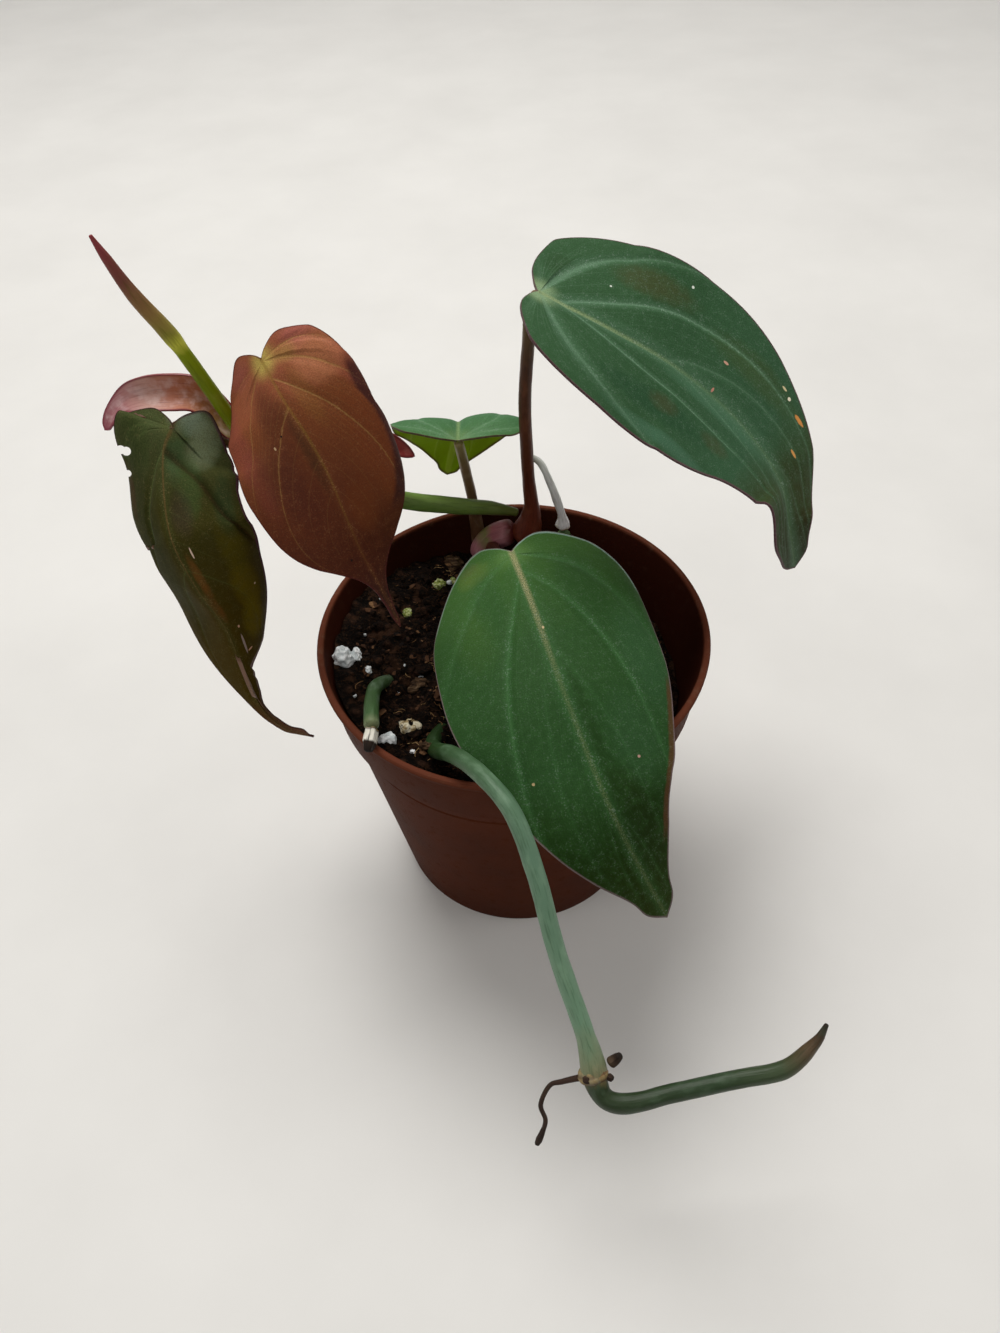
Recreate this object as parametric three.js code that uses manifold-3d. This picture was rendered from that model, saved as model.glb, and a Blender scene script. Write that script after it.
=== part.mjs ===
// Potted velvet leaf philodendron: a young plant with five large leaves in a small round nursery pot.
// Millimetres, +Z up. The origin is the centre of the pot's foot, on the table. +X is to the right of
// the plant and -Y is its front, where the largest green leaf hangs over the rim.
import * as THREE from "three";
import { mergeVertices } from "three/addons/utils/BufferGeometryUtils.js";
import Module from "manifold-3d";

const wasm = await Module();
wasm.setup();

const TURN = 2 * Math.PI;
const at = (x, y, z) => new THREE.Vector3(x, y, z);

// Driving dimensions
const GAP = 0.3; // between two pieces that touch on the real plant
const BLADE_THICKNESS = 0.65;
const SHEATH_THICKNESS = 0.6;

const POT = {
  height: 61,
  topRadius: 35, // outside of the lip
  footRadius: 25.1,
  bodyTopRadius: 32, // just under the collar
  collarRadius: 33.2, // at the lower edge of the collar
  collarHeight: 11,
  wall: 1.1,
  floor: 2.4,
  middleFoot: 11, // radius of the round foot in the middle of the underside
  ringFoot: 22.4, // inner radius of the ring that the pot stands on
  recess: 1.2, // how far the part between those two, with the drain holes, lies above the table
  drainHoles: 6,
  drainHoleRadius: 2.6,
  drainRingRadius: 17,
  facets: 48,
};
const COLLAR_Z = POT.height - POT.collarHeight;
const POT_BORE = [
  [23.9, POT.floor],
  [30.8, 48],
  [33.5, 60],
]; // inner wall: radius and height

const SOIL = {
  radius: 32, // where its surface meets the wall, roughly
  level: 52.3, // at the middle of the pot
  fallToRight: 5, // from the middle to the wall
  fallToBack: 1.3,
  bump: 0.55,
  clearance: 0.35, // to the wall and to every piece that stands in it
  bevel: 0.6, // of its upper edge
  rings: 12,
  facets: 48,
};

const COLOUR = {
  pot: 0x6e3226,
  soil: 0x1c1410,
  perlite: 0xd9dcda,
  crumb: 0xb7a67e,
  bark: 0x5b4634,
  stem: 0x4e7a4c,
  petiole: 0x4a2a22,
  greyPetiole: 0x7a6a58,
  sheath: 0x9c5a62,
  greenBlade: 0x355a38,
  blueBlade: 0x27433f,
  copperBlade: 0x7c3f28,
  bronzeBlade: 0x2f3320,
  smallBlade: 0x4d8a66,
  newLeaf: 0x6b4a34,
  dried: 0xb9b8ad,
  root: 0x3a2a26,
};

// Geometry helpers
function solidOf(geometry) {
  const plain = geometry.clone();
  plain.deleteAttribute("normal");
  plain.deleteAttribute("uv");
  const merged = mergeVertices(plain, 1e-4);
  return new wasm.Manifold(
    new wasm.Mesh({
      numProp: 3,
      vertProperties: merged.attributes.position.array,
      triVerts: new Uint32Array(merged.index.array),
    }),
  );
}

function geometryOf(solid) {
  const mesh = solid.getMesh();
  const geometry = new THREE.BufferGeometry();
  geometry.setAttribute("position", new THREE.BufferAttribute(mesh.vertProperties, 3));
  geometry.setIndex(new THREE.BufferAttribute(mesh.triVerts, 1));
  geometry.computeVertexNormals();
  return geometry;
}

const fuse = (...geometries) => geometryOf(geometries.map(solidOf).reduce((whole, next) => whole.add(next)));

// Height or radius between the stations of a short list of [place, value] pairs.
function between(stations, place) {
  const last = stations[stations.length - 1];
  if (place >= last[0]) return last[1];
  const next = Math.max(1, stations.findIndex(([p]) => p > place));
  const [p0, v0] = stations[next - 1];
  const [p1, v1] = stations[next];
  return v0 + ((v1 - v0) * Math.max(0, place - p0)) / (p1 - p0);
}

const smoothPath = (points) => new THREE.CatmullRomCurve3(points, false, "catmullrom", 0.5);

// A stem, petiole or root: a round solid along a smooth path. Its radius is given at places from
// 0, its start, to 1, its end. grow makes it thicker all round, for the hole that it stands in.
function stalk({ path, radius, sides = 8, steps = 16 }, grow = 0) {
  const curve = smoothPath(path);
  const frames = curve.computeFrenetFrames(steps, false);
  const positions = [];
  const triangles = [];
  for (let i = 0; i <= steps; i++) {
    const centre = curve.getPointAt(i / steps);
    const r = between(radius, i / steps) + grow;
    for (let j = 0; j < sides; j++) {
      const turn = (TURN * j) / sides;
      const rim = centre
        .clone()
        .addScaledVector(frames.normals[i], r * Math.cos(turn))
        .addScaledVector(frames.binormals[i], r * Math.sin(turn));
      positions.push(rim.x, rim.y, rim.z);
    }
  }
  for (let i = 0; i < steps; i++) {
    for (let j = 0; j < sides; j++) {
      const a = i * sides + j;
      const b = i * sides + ((j + 1) % sides);
      triangles.push(a, b, b + sides, a, b + sides, a + sides);
    }
  }
  const end = steps * sides;
  for (let j = 1; j < sides - 1; j++) {
    triangles.push(0, j + 1, j, end, end + j, end + j + 1);
  }
  const geometry = new THREE.BufferGeometry();
  geometry.setAttribute("position", new THREE.Float32BufferAttribute(positions, 3));
  geometry.setIndex(triangles);
  geometry.computeVertexNormals();
  return geometry;
}

// Turns an open sheet of triangles into a solid: the same triangles again on a second face, and a
// wall along the open edge.
function thicken(positions, triangles, thickness) {
  let sheet = new THREE.BufferGeometry();
  sheet.setAttribute("position", new THREE.Float32BufferAttribute(positions, 3));
  sheet.setIndex(triangles);
  sheet = mergeVertices(sheet, 1e-3);
  const faces = [];
  for (let i = 0; i < sheet.index.count; i += 3) {
    const [a, b, c] = [0, 1, 2].map((k) => sheet.index.getX(i + k));
    if (a !== b && b !== c && c !== a) faces.push([a, b, c]);
  }
  sheet.setIndex(faces.flat());
  sheet.computeVertexNormals();
  const count = sheet.attributes.position.count;
  const point = new THREE.Vector3();
  const normal = new THREE.Vector3();
  const both = [];
  for (const depth of [0, thickness]) {
    for (let i = 0; i < count; i++) {
      point.fromBufferAttribute(sheet.attributes.position, i);
      normal.fromBufferAttribute(sheet.attributes.normal, i);
      point.addScaledVector(normal, -depth);
      both.push(point.x, point.y, point.z);
    }
  }
  const closed = faces.flatMap(([a, b, c]) => [a, b, c, count + a, count + c, count + b]);
  const edges = new Set(faces.flatMap(([a, b, c]) => [`${a} ${b}`, `${b} ${c}`, `${c} ${a}`]));
  for (const edge of edges) {
    const [a, b] = edge.split(" ").map(Number);
    if (!edges.has(`${b} ${a}`)) closed.push(b, a, count + a, b, count + a, count + b);
  }
  const solid = new THREE.BufferGeometry();
  solid.setAttribute("position", new THREE.Float32BufferAttribute(both, 3));
  solid.setIndex(closed);
  solid.computeVertexNormals();
  return solid;
}

// The half outline of a blade: across, as a share of the half's width, and along the midrib, as a
// share of its length, from the notch at the petiole round the lobe to the drip tip.
const HEART = [
  [0, -0.015],
  [0.12, -0.055],
  [0.3, -0.085],
  [0.52, -0.06],
  [0.8, 0.02],
  [0.97, 0.14],
  [1, 0.3],
  [0.95, 0.47],
  [0.71, 0.65],
  [0.42, 0.81],
  [0.21, 0.91],
  [0.14, 0.965],
  [0, 1],
];
// The same for a blade that narrows early into a long drip tip.
const LONG_TIP = [
  [0, -0.015],
  [0.12, -0.055],
  [0.32, -0.085],
  [0.51, -0.06],
  [0.8, 0.02],
  [0.98, 0.14],
  [1, 0.3],
  [1, 0.47],
  [0.78, 0.65],
  [0.22, 0.81],
  [0.07, 0.91],
  [0.04, 0.965],
  [0, 1],
];
// The same for a boat-shaped sheath.
const BOAT = [
  [0, -0.02],
  [0.7, 0],
  [0.95, 0.12],
  [1, 0.35],
  [0.9, 0.62],
  [0.55, 0.86],
  [0.2, 0.97],
  [0, 1],
];
const VEIN_SWEEP = 0.9; // how far a side vein runs towards the tip for each millimetre across
const VEIN_REACH = 0.6; // how far across, as a share, a side vein's middle control point lies
const VEIN_RISE = 0.35; // and how far along
const ROLL_START = 0.72; // share of the half's width at which a rolled margin begins to turn
const CROSS_STEPS = 10; // steps from the midrib out, in which a half's cross-section is drawn

const outlineCurve = (outline) => smoothPath(outline.map(([across, along]) => at(across, along, 0)));
const HEART_CURVE = outlineCurve(HEART);
const LONG_TIP_CURVE = outlineCurve(LONG_TIP);
const BOAT_CURVE = outlineCurve(BOAT);

// One point of a blade's upper face. side is 1 for the half that lies to the right when the tip
// points away from the viewer, and -1 for the left one; t runs along the margin from the notch to
// the tip, and w from the midrib, 0, to the margin, 1.
function bladePoint(leaf, side, t, w) {
  const length = leaf.rib.getLength();
  const half = side > 0 ? leaf.right : leaf.left;
  const rim = leaf.outline.getPoint(t);
  const nick = leaf.nicks ? nickDepth(leaf.nicks, side, t) : 0;
  const across = rim.x * half.width * (1 - nick);
  const along = length * (rim.y < 0 ? rim.y * (half.lobe ?? 1) : rim.y ** (half.taper ?? 1));
  const meanWidth = (leaf.right.width + leaf.left.width) / 2;
  const root = Math.max(0, length * rim.y - VEIN_SWEEP * rim.x * meanWidth);
  const x = 2 * w * (1 - w) * VEIN_REACH * across + w * w * across;
  const bend = root + VEIN_RISE * (along - root);
  const y = (1 - w) ** 2 * root + 2 * w * (1 - w) * bend + w * w * along;

  const u = THREE.MathUtils.clamp(y / length, 0, 1);
  const centre = leaf.rib.getPointAt(u);
  const tangent = leaf.rib.getTangentAt(u);
  centre.addScaledVector(tangent, Math.min(0, y));
  const normal = leaf.faceAtBase.clone().lerp(leaf.faceAtTip, u);
  normal.addScaledVector(tangent, -normal.dot(tangent)).normalize();
  const sideways = tangent.clone().cross(normal);

  let out = 0;
  let up = 0;
  for (let i = 0; i < CROSS_STEPS; i++) {
    const share = (x * (i + 0.5)) / CROSS_STEPS / half.width;
    const rolled = Math.max(0, share - ROLL_START) / (1 - ROLL_START);
    const angle =
      THREE.MathUtils.lerp(half.fold[0], half.fold[1], u) +
      THREE.MathUtils.lerp(half.curl[0], half.curl[1], u) * share +
      (half.roll ?? 0) * rolled * rolled;
    out += (x / CROSS_STEPS) * Math.cos(angle);
    up += (x / CROSS_STEPS) * Math.sin(angle);
  }
  return centre.addScaledVector(sideways, side * out).addScaledVector(normal, up);
}

// Bites and scars in the margin: how much of the half's width is gone at place t.
function nickDepth(nicks, side, t) {
  return nicks
    .filter((nick) => nick.side === side)
    .reduce((depth, nick) => Math.max(depth, nick.depth * (1 - Math.abs(t - nick.at) / nick.reach)), 0);
}

function blade(leaf, thickness = BLADE_THICKNESS) {
  const rows = leaf.rows ?? 22;
  const columns = leaf.columns ?? 5;
  const positions = [];
  const triangles = [];
  for (const side of [1, -1]) {
    const first = positions.length / 3;
    for (let i = 0; i <= rows; i++) {
      for (let j = 0; j <= columns; j++) {
        const p = bladePoint(leaf, side, i / rows, j / columns);
        positions.push(p.x, p.y, p.z);
      }
    }
    for (let i = 0; i < rows; i++) {
      for (let j = 0; j < columns; j++) {
        const a = first + i * (columns + 1) + j;
        const b = a + columns + 1;
        const quad = side > 0 ? [a, a + 1, b + 1, a, b + 1, b] : [a, b + 1, a + 1, a, b, b + 1];
        triangles.push(...quad);
      }
    }
  }
  return thicken(positions, triangles, thickness);
}

// Draws numbers from 0 to 1, the same ones for the same seed.
function seeded(seed) {
  let state = seed;
  return () => {
    state = (1664525 * state + 1013904223) % 2 ** 32;
    return state / 2 ** 32;
  };
}

// A lump of perlite, bark or dried soil: a rough ball, its corners moved in and out by a seed.
function lump({ centre, size, seed }, grow = 0) {
  const ball = new THREE.IcosahedronGeometry(1, 1);
  ball.deleteAttribute("normal");
  ball.deleteAttribute("uv");
  const rough = mergeVertices(ball, 1e-4);
  const random = seeded(seed);
  const place = rough.attributes.position;
  const p = new THREE.Vector3();
  for (let i = 0; i < place.count; i++) {
    p.fromBufferAttribute(place, i);
    const reach = THREE.MathUtils.mapLinear(random(), 0, 1, 0.82, 1.18);
    p.multiplyScalar(reach).multiply(size.clone().addScalar(grow)).add(centre);
    place.setXYZ(i, p.x, p.y, p.z);
  }
  rough.computeVertexNormals();
  return rough;
}

const plant = new THREE.Group();
function piece(name, geometry, colour, roughness = 0.6) {
  const material = new THREE.MeshStandardMaterial({ color: colour, roughness, metalness: 0 });
  const mesh = new THREE.Mesh(geometry, material);
  mesh.name = name;
  plant.add(mesh);
  return mesh;
}

// Pot: one moulded shell. Its profile runs from the middle of the underside out, up and back in,
// with small chamfers at the corners.
function potGeometry() {
  const { height, topRadius, footRadius, middleFoot, ringFoot, recess, floor, wall, facets } = POT;
  const [[boreFoot], [boreMiddle, middleZ], [boreTop, topZ]] = POT_BORE;
  const profile = [
    [0, 0],
    [middleFoot, 0],
    [middleFoot + 1, recess],
    [ringFoot - 1, recess],
    [ringFoot, 0],
    [footRadius - 0.9, 0],
    [footRadius - 0.1, 0.8],
    [POT.bodyTopRadius, COLLAR_Z - 0.4],
    [POT.collarRadius, COLLAR_Z],
    [topRadius - 0.75, height - 1.6],
    [topRadius - 0.1, height - 1.1],
    [topRadius, height - 0.5],
    [topRadius - 0.3, height - 0.1],
    [topRadius - 0.7, height],
    [topRadius - wall - 0.1, height - 0.3],
    [boreTop, topZ],
    [boreMiddle, middleZ],
    [boreFoot, floor + 0.6],
    [boreFoot - 0.8, floor],
    [0, floor],
  ];
  const shell = new THREE.LatheGeometry(
    profile.map(([r, z]) => new THREE.Vector2(r, z)),
    facets,
  ).rotateX(Math.PI / 2);
  let pot = solidOf(shell);
  for (let i = 0; i < POT.drainHoles; i++) {
    const turn = (TURN * i) / POT.drainHoles;
    const drill = 4 * floor;
    const hole = new THREE.CylinderGeometry(POT.drainHoleRadius, POT.drainHoleRadius, drill, 12)
      .rotateX(Math.PI / 2)
      .translate(POT.drainRingRadius * Math.cos(turn), POT.drainRingRadius * Math.sin(turn), floor);
    pot = pot.subtract(solidOf(hole));
  }
  return geometryOf(pot);
}

// Height of the soil's surface: it falls to the right and to the back, with low bumps.
function soilHeight(x, y) {
  const slope = -SOIL.fallToRight * (x / SOIL.radius) - SOIL.fallToBack * (y / SOIL.radius);
  const bumps =
    Math.sin(0.31 * x + 1.3) * Math.cos(0.27 * y - 0.4) +
    0.7 * Math.sin(0.71 * x - 0.53 * y) +
    0.5 * Math.cos(1.13 * x + 0.97 * y + 2);
  return SOIL.level + slope + SOIL.bump * bumps;
}

// Soil: fills the pot up to that surface. Its top is a fan of rings of points, each at the surface's
// height, and its side follows the inner wall down to the floor.
function soilGeometry() {
  const { rings, facets, radius, clearance, bevel } = SOIL;
  const floor = POT.floor + GAP;
  const bore = (z) => between(POT_BORE.map(([r, height]) => [height, r]), z) - clearance;
  const knee = POT_BORE[1][1];
  const positions = [0, 0, soilHeight(0, 0)];
  const ring = (radiusOf) => {
    for (let j = 0; j < facets; j++) {
      const turn = (TURN * j) / facets;
      const [r, z] = radiusOf(turn);
      positions.push(r * Math.cos(turn), r * Math.sin(turn), z);
    }
  };
  const edgeHeight = (turn) => soilHeight(radius * Math.cos(turn), radius * Math.sin(turn));
  for (let i = 1; i <= rings; i++) {
    ring((turn) => {
      const r = (bore(edgeHeight(turn)) * i) / rings;
      const z = i === rings ? edgeHeight(turn) : soilHeight(r * Math.cos(turn), r * Math.sin(turn));
      return [r, z];
    });
  }
  ring((turn) => {
    const z = Math.min(knee, edgeHeight(turn) - bevel);
    return [bore(z), z];
  });
  ring(() => [bore(floor + bevel), floor + bevel]);
  ring(() => [bore(floor) - 2 * bevel, floor]);
  positions.push(0, 0, floor);
  const rows = rings + 3;
  const triangles = [];
  const node = (i, j) => 1 + (i - 1) * facets + (j % facets);
  for (let j = 0; j < facets; j++) {
    triangles.push(0, node(1, j), node(1, j + 1));
    for (let i = 1; i < rows; i++) {
      triangles.push(node(i, j), node(i + 1, j), node(i + 1, j + 1));
      triangles.push(node(i, j), node(i + 1, j + 1), node(i, j + 1));
    }
    triangles.push(node(rows, j), 1 + rows * facets, node(rows, j + 1));
  }
  const geometry = new THREE.BufferGeometry();
  geometry.setAttribute("position", new THREE.Float32BufferAttribute(positions, 3));
  geometry.setIndex(triangles);
  return geometry;
}

// Stems. Each is given by the points of its path and its radius along it.
const CROWN = {
  path: [
    at(-4.6, 24.6, 30),
    at(-4.8, 25.2, 44),
    at(-5, 26.2, 53),
    at(-4.3, 26.7, 58),
    at(-2, 26.8, 60.3),
    at(1, 26.6, 61),
  ],
  radius: [
    [0, 1.9],
    [0.55, 2.3],
    [0.72, 2.9],
    [1, 2.8],
  ],
  sides: 10,
};
const CROWN_ROOTS = [
  [at(-4.6, 24.6, 34), at(-9, 22, 31), at(-13, 19, 24)],
  [at(-4.6, 24.6, 32), at(0, 20, 28), at(3, 14, 20)],
  [at(-4.6, 24.6, 33), at(-3, 21, 26), at(-6, 16, 16)],
];
const BACK_STEM = {
  path: [
    at(2.5, 27, 64.9),
    at(0.9, 27, 65.5),
    at(-2.9, 26, 67.3),
    at(-8.5, 23.1, 70.5),
    at(-18.3, 17, 77.5),
    at(-29.6, 12.6, 86),
    at(-38.5, 10.8, 93),
    at(-41, 10.6, 95.2),
  ],
  radius: [
    [0, 0.75],
    [0.1, 1.35],
    [0.25, 1.6],
    [0.62, 1.6],
    [0.7, 2],
    [0.76, 1.6],
    [0.94, 1.6],
    [1, 2.1],
  ],
  steps: 22,
};
const RIGHT_PETIOLE = {
  path: [
    at(4.3, 26.4, 59.3),
    at(5, 26.4, 62),
    at(5.1, 26.7, 66),
    at(4.6, 26.5, 73),
    at(4.3, 25.5, 80.6),
    at(4.1, 24.9, 91.4),
    at(5, 24.6, 103.5),
    at(5.2, 25, 109.7),
  ],
  radius: [
    [0, 2.6],
    [0.05, 2.4],
    [0.14, 1.4],
    [0.25, 1.15],
    [0.9, 1.05],
    [1, 1.3],
  ],
  steps: 20,
};
const FRONT_PETIOLE = {
  path: [at(-2.6, 23, 59.4), at(-1.8, 19, 61.5), at(-0.6, 13.5, 65), at(0.1, 10.2, 67.8)],
  radius: [
    [0, 1.5],
    [0.25, 1.15],
    [1, 1.15],
  ],
  steps: 8,
};
const COPPER_PETIOLE = {
  path: [at(-30.6, 14.7, 88.2), at(-32.2, 16.6, 95), at(-34.5, 16, 102.6), at(-35.7, 13.6, 108.2)],
  radius: [
    [0, 1.3],
    [0.2, 0.95],
    [1, 0.95],
  ],
  steps: 10,
};
const BRONZE_PETIOLE = {
  path: [at(-42.6, 12.6, 93.6), at(-46.5, 13.6, 95), at(-49.5, 12.6, 97.8), at(-50.9, 10.8, 100.3)],
  radius: [
    [0, 1.2],
    [0.2, 0.85],
    [1, 0.85],
  ],
  steps: 10,
};
const SMALL_PETIOLE = {
  path: [at(-5.8, 29.4, 61.5), at(-6.3, 28.9, 68), at(-7.3, 27.4, 77), at(-7.7, 26.1, 82.2)],
  radius: [
    [0, 1.2],
    [0.2, 0.95],
    [1, 0.85],
  ],
  steps: 10,
};
const GREEN_STUB = {
  path: [at(11.2, 25.2, 38), at(11.3, 25, 50), at(11.2, 25, 60.4)],
  radius: [
    [0, 1.1],
    [1, 1.3],
  ],
  steps: 6,
};
const DRIED_STALK = {
  path: [
    at(11.1, 25.1, 60.8),
    at(10.9, 25.4, 64.2),
    at(9.9, 25.8, 68.5),
    at(8.6, 26.5, 72.3),
    at(6.9, 27.6, 75.9),
    at(5, 28.6, 76.9),
  ],
  radius: [
    [0, 1.55],
    [0.08, 1.35],
    [0.2, 0.85],
    [0.8, 0.75],
    [1, 0.6],
  ],
  sides: 7,
  steps: 14,
};
const CUT_STUB = {
  path: [
    at(-19.5, -3.4, 42),
    at(-20.6, -4, 50),
    at(-22, -5.6, 54.6),
    at(-24.2, -9.6, 58.2),
    at(-24.5, -14.3, 60.6),
    at(-24.2, -19.2, 62.4),
    at(-23.9, -22.6, 62.9),
  ],
  radius: [
    [0, 1],
    [0.4, 1.2],
    [1, 1.3],
  ],
  steps: 14,
};
const CUT_END = {
  path: [at(-23.9, -22.9, 62.9), at(-24, -24.6, 62.9), at(-24.3, -26.4, 62.6), at(-24.5, -27.3, 62.2)],
  radius: [
    [0, 1.3],
    [0.6, 1.25],
    [1, 0.7],
  ],
  steps: 4,
};
const FRONT_VINE = {
  path: [
    at(-8.5, 1, 40),
    at(-10.6, -2.5, 49),
    at(-12.6, -8, 52.6),
    at(-14.6, -15, 54.4),
    at(-15.6, -19.8, 55.4),
    at(-14.3, -22.9, 56.6),
    at(-10.4, -29.9, 63.9),
    at(-6.1, -36.5, 67.3),
    at(-1.8, -43.4, 67.1),
    at(1.1, -50.5, 61.4),
    at(3.6, -58.2, 52),
    at(7.2, -66.4, 42),
    at(8.4, -70.6, 36.8),
  ],
  radius: [
    [0, 1.2],
    [0.1, 1.45],
    [0.4, 1.5],
    [0.6, 1.65],
    [0.93, 1.7],
    [0.98, 2.15],
    [1, 2.05],
  ],
  steps: 36,
};
const VINE_ROOTS = [
  [at(-8.5, 1, 43), at(-6, 5, 38), at(-2, 8, 30)],
  [at(-8.5, 1, 42), at(-11, 3, 36), at(-15, 5, 28)],
  [at(-8.5, 1, 41), at(-8, -2, 34), at(-6, -6, 26)],
];
const VINE_SHOOT = {
  path: [
    at(8.55, -71.3, 36.4),
    at(9.3, -72.9, 35.2),
    at(11.4, -74, 34.8),
    at(14.8, -74, 34.9),
    at(19.7, -73.2, 35.4),
    at(29.4, -72.2, 37),
    at(36.2, -71.8, 39),
    at(40.4, -69.7, 43),
    at(41.9, -68.2, 46),
  ],
  radius: [
    [0, 1.9],
    [0.08, 1.55],
    [0.25, 1.4],
    [0.75, 1.35],
    [0.86, 1.1],
    [1, 0.3],
  ],
  steps: 24,
};
const AERIAL_ROOT = {
  path: [
    at(6, -70.6, 36.2),
    at(3.6, -70.7, 35.6),
    at(1.6, -70.9, 34.6),
    at(0.1, -72.8, 32),
    at(0.7, -74.4, 30),
    at(0.1, -75.6, 28),
    at(-0.8, -76.7, 26),
  ],
  radius: [
    [0, 0.55],
    [0.3, 0.4],
    [0.8, 0.4],
    [0.93, 0.75],
    [1, 0.6],
  ],
  sides: 6,
  steps: 14,
};
const NODE_STUMP = {
  path: [at(10.5, -69.4, 38), at(11.6, -68.9, 38.6), at(12.3, -68.7, 39.6)],
  radius: [
    [0, 0.9],
    [1, 0.55],
  ],
  sides: 6,
  steps: 3,
};
// Leaf rolled up round its midrib, standing on its green petiole.
const NEW_LEAF = {
  path: [
    at(-41.9, 11.6, 97.6),
    at(-43.3, 12, 100.1),
    at(-47.8, 12, 112.6),
    at(-51.4, 12, 121),
    at(-53.6, 12, 126.5),
    at(-55.1, 12, 129.5),
  ],
  radius: [
    [0, 1.3],
    [0.08, 1.15],
    [0.44, 1.1],
    [0.5, 1.3],
    [0.72, 1.1],
    [0.9, 0.7],
    [1, 0.25],
  ],
  steps: 18,
};

// Blades. The rib runs from the petiole to the drip tip; face is the way that the upper side looks.
const through = (...points) => smoothPath(points);
const RIGHT_BLADE = {
  outline: HEART_CURVE,
  rib: through(
    at(6.7, 24.8, 111.2),
    at(18.2, 22.7, 105.3),
    at(29.4, 21, 98.5),
    at(39.7, 17.1, 90.3),
    at(46.7, 11.8, 82),
    at(48.9, 7.2, 74.3),
    at(51.6, 7.6, 64.8),
  ),
  faceAtBase: at(0.74, -0.12, 0.66),
  faceAtTip: at(0.7, -0.68, -0.22),
  right: { width: 19.7, lobe: 0.42, taper: 1.08, fold: [0.05, 0.08], curl: [-0.02, -0.01] },
  left: { width: 19.8, lobe: 0.35, taper: 1.08, fold: [0.05, 0.33], curl: [0.2, -0.24] },
};
const FRONT_BLADE = {
  outline: HEART_CURVE,
  rib: through(
    at(0.6, 9.3, 70.2),
    at(3.3, -5.6, 72.2),
    at(6.7, -21, 70.3),
    at(10.6, -33.2, 64.8),
    at(13.1, -39.4, 61.1),
    at(16.3, -43.7, 54.9),
    at(21.9, -49, 43.7),
  ),
  faceAtBase: at(-0.2, -0.14, 0.97),
  faceAtTip: at(0.29, -0.64, 0.71),
  right: { width: 19.6, lobe: 0.98, taper: 0.98, fold: [-0.18, -0.02], curl: [-0.33, -0.18] },
  left: { width: 19.4, roll: -0.5, lobe: 0.82, taper: 1.01, fold: [-0.14, -0.05], curl: [-0.3, -0.13] },
};
const COPPER_BLADE = {
  outline: LONG_TIP_CURVE,
  rib: through(
    at(-35.9, 11.3, 109.5),
    at(-32.9, 6, 106.3),
    at(-29.6, 2.6, 101.6),
    at(-27.2, 0.7, 95.6),
    at(-25.5, -0.7, 88.4),
    at(-23.8, -1.5, 81),
    at(-21.5, -3.4, 75.4),
    at(-18.8, -6.9, 69.8),
  ),
  faceAtBase: at(-0.2, -0.94, 0.28),
  faceAtTip: at(0.66, -0.63, 0.4),
  right: { width: 13.2, lobe: 0.97, taper: 1.12, fold: [-0.17, 0.07], curl: [-0.07, -0.1] },
  left: { width: 12.5, roll: -1.1, lobe: 0.58, taper: 1.01, fold: [-0.09, -0.03], curl: [-0.31, -0.19] },
};
const BRONZE_BLADE = {
  outline: LONG_TIP_CURVE,
  rib: through(
    at(-51.1, 7.8, 101.2),
    at(-52.9, 4.7, 98.3),
    at(-53.1, -1.1, 92.8),
    at(-52.1, -5.5, 88.6),
    at(-50.2, -7.2, 81),
    at(-48, -6.4, 70.3),
    at(-46.4, -7.6, 53.3),
    at(-42.1, -10.4, 48.5),
    at(-37, -11.5, 47.1),
  ),
  faceAtBase: at(-0.1, -0.98, -0.17),
  faceAtTip: at(0.75, -0.65, 0.15),
  right: { width: 12.4, lobe: 0.1, taper: 1, fold: [-0.68, -1.1], curl: [-0.25, -0.5] },
  left: { width: 12.7, lobe: 0.7, taper: 1.1, fold: [-0.12, -0.62], curl: [-0.1, -0.66] },
  nicks: [
    { side: 1, at: 0.42, reach: 0.03, depth: 0.2 },
    { side: -1, at: 0.75, reach: 0.05, depth: 0.35 },
  ],
};
const SMALL_BLADE = {
  outline: HEART_CURVE,
  rib: through(
    at(-8, 24.8, 84.1),
    at(-7.9, 28, 84.1),
    at(-7.9, 32, 83.1),
    at(-8.3, 35, 79.5),
    at(-9.2, 36.5, 75.3),
    at(-10.2, 36.8, 71.4),
    at(-11.1, 36, 68.2),
  ),
  faceAtBase: at(0, -0.1, 1),
  faceAtTip: at(-0.1, 1, 0.1),
  right: { width: 12.8, lobe: 0.5, fold: [0.45, 0], curl: [-1, -0.4] },
  left: { width: 12.5, lobe: 0.5, fold: [0.45, 0], curl: [-0.6, -0.4] },
  rows: 18,
};
const BUD_SHEATH = {
  outline: BOAT_CURVE,
  rib: through(
    at(-43.2, 13.4, 95.8),
    at(-45.8, 15.6, 98.8),
    at(-48.6, 16.8, 101),
    at(-52.5, 16.8, 101.6),
    at(-56.3, 16.3, 101.8),
    at(-60, 15.6, 101.3),
    at(-62.6, 14.8, 99.4),
    at(-64.3, 14.2, 97),
  ),
  faceAtBase: at(0.2, -0.8, 0.5),
  faceAtTip: at(-0.5, -0.7, 0.5),
  right: { width: 3.4, fold: [0.5, 0], curl: [0.8, 0.3] },
  left: { width: 3.4, fold: [0.5, 0], curl: [1, 0.3] },
  rows: 14,
  columns: 4,
};
const RED_SHEATH = {
  outline: BOAT_CURVE,
  rib: through(
    at(-29, 16.2, 88.2),
    at(-25.4, 17.9, 90),
    at(-20.6, 18.2, 89.4),
    at(-15.3, 18, 86),
  ),
  faceAtBase: at(0, -0.8, 0.6),
  faceAtTip: at(0.2, -0.8, 0.6),
  right: { width: 2.2, fold: [0.3, 0.3], curl: [0.7, 0.4] },
  left: { width: 2.2, fold: [0.3, 0.3], curl: [0.7, 0.4] },
  rows: 10,
  columns: 3,
};

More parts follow.
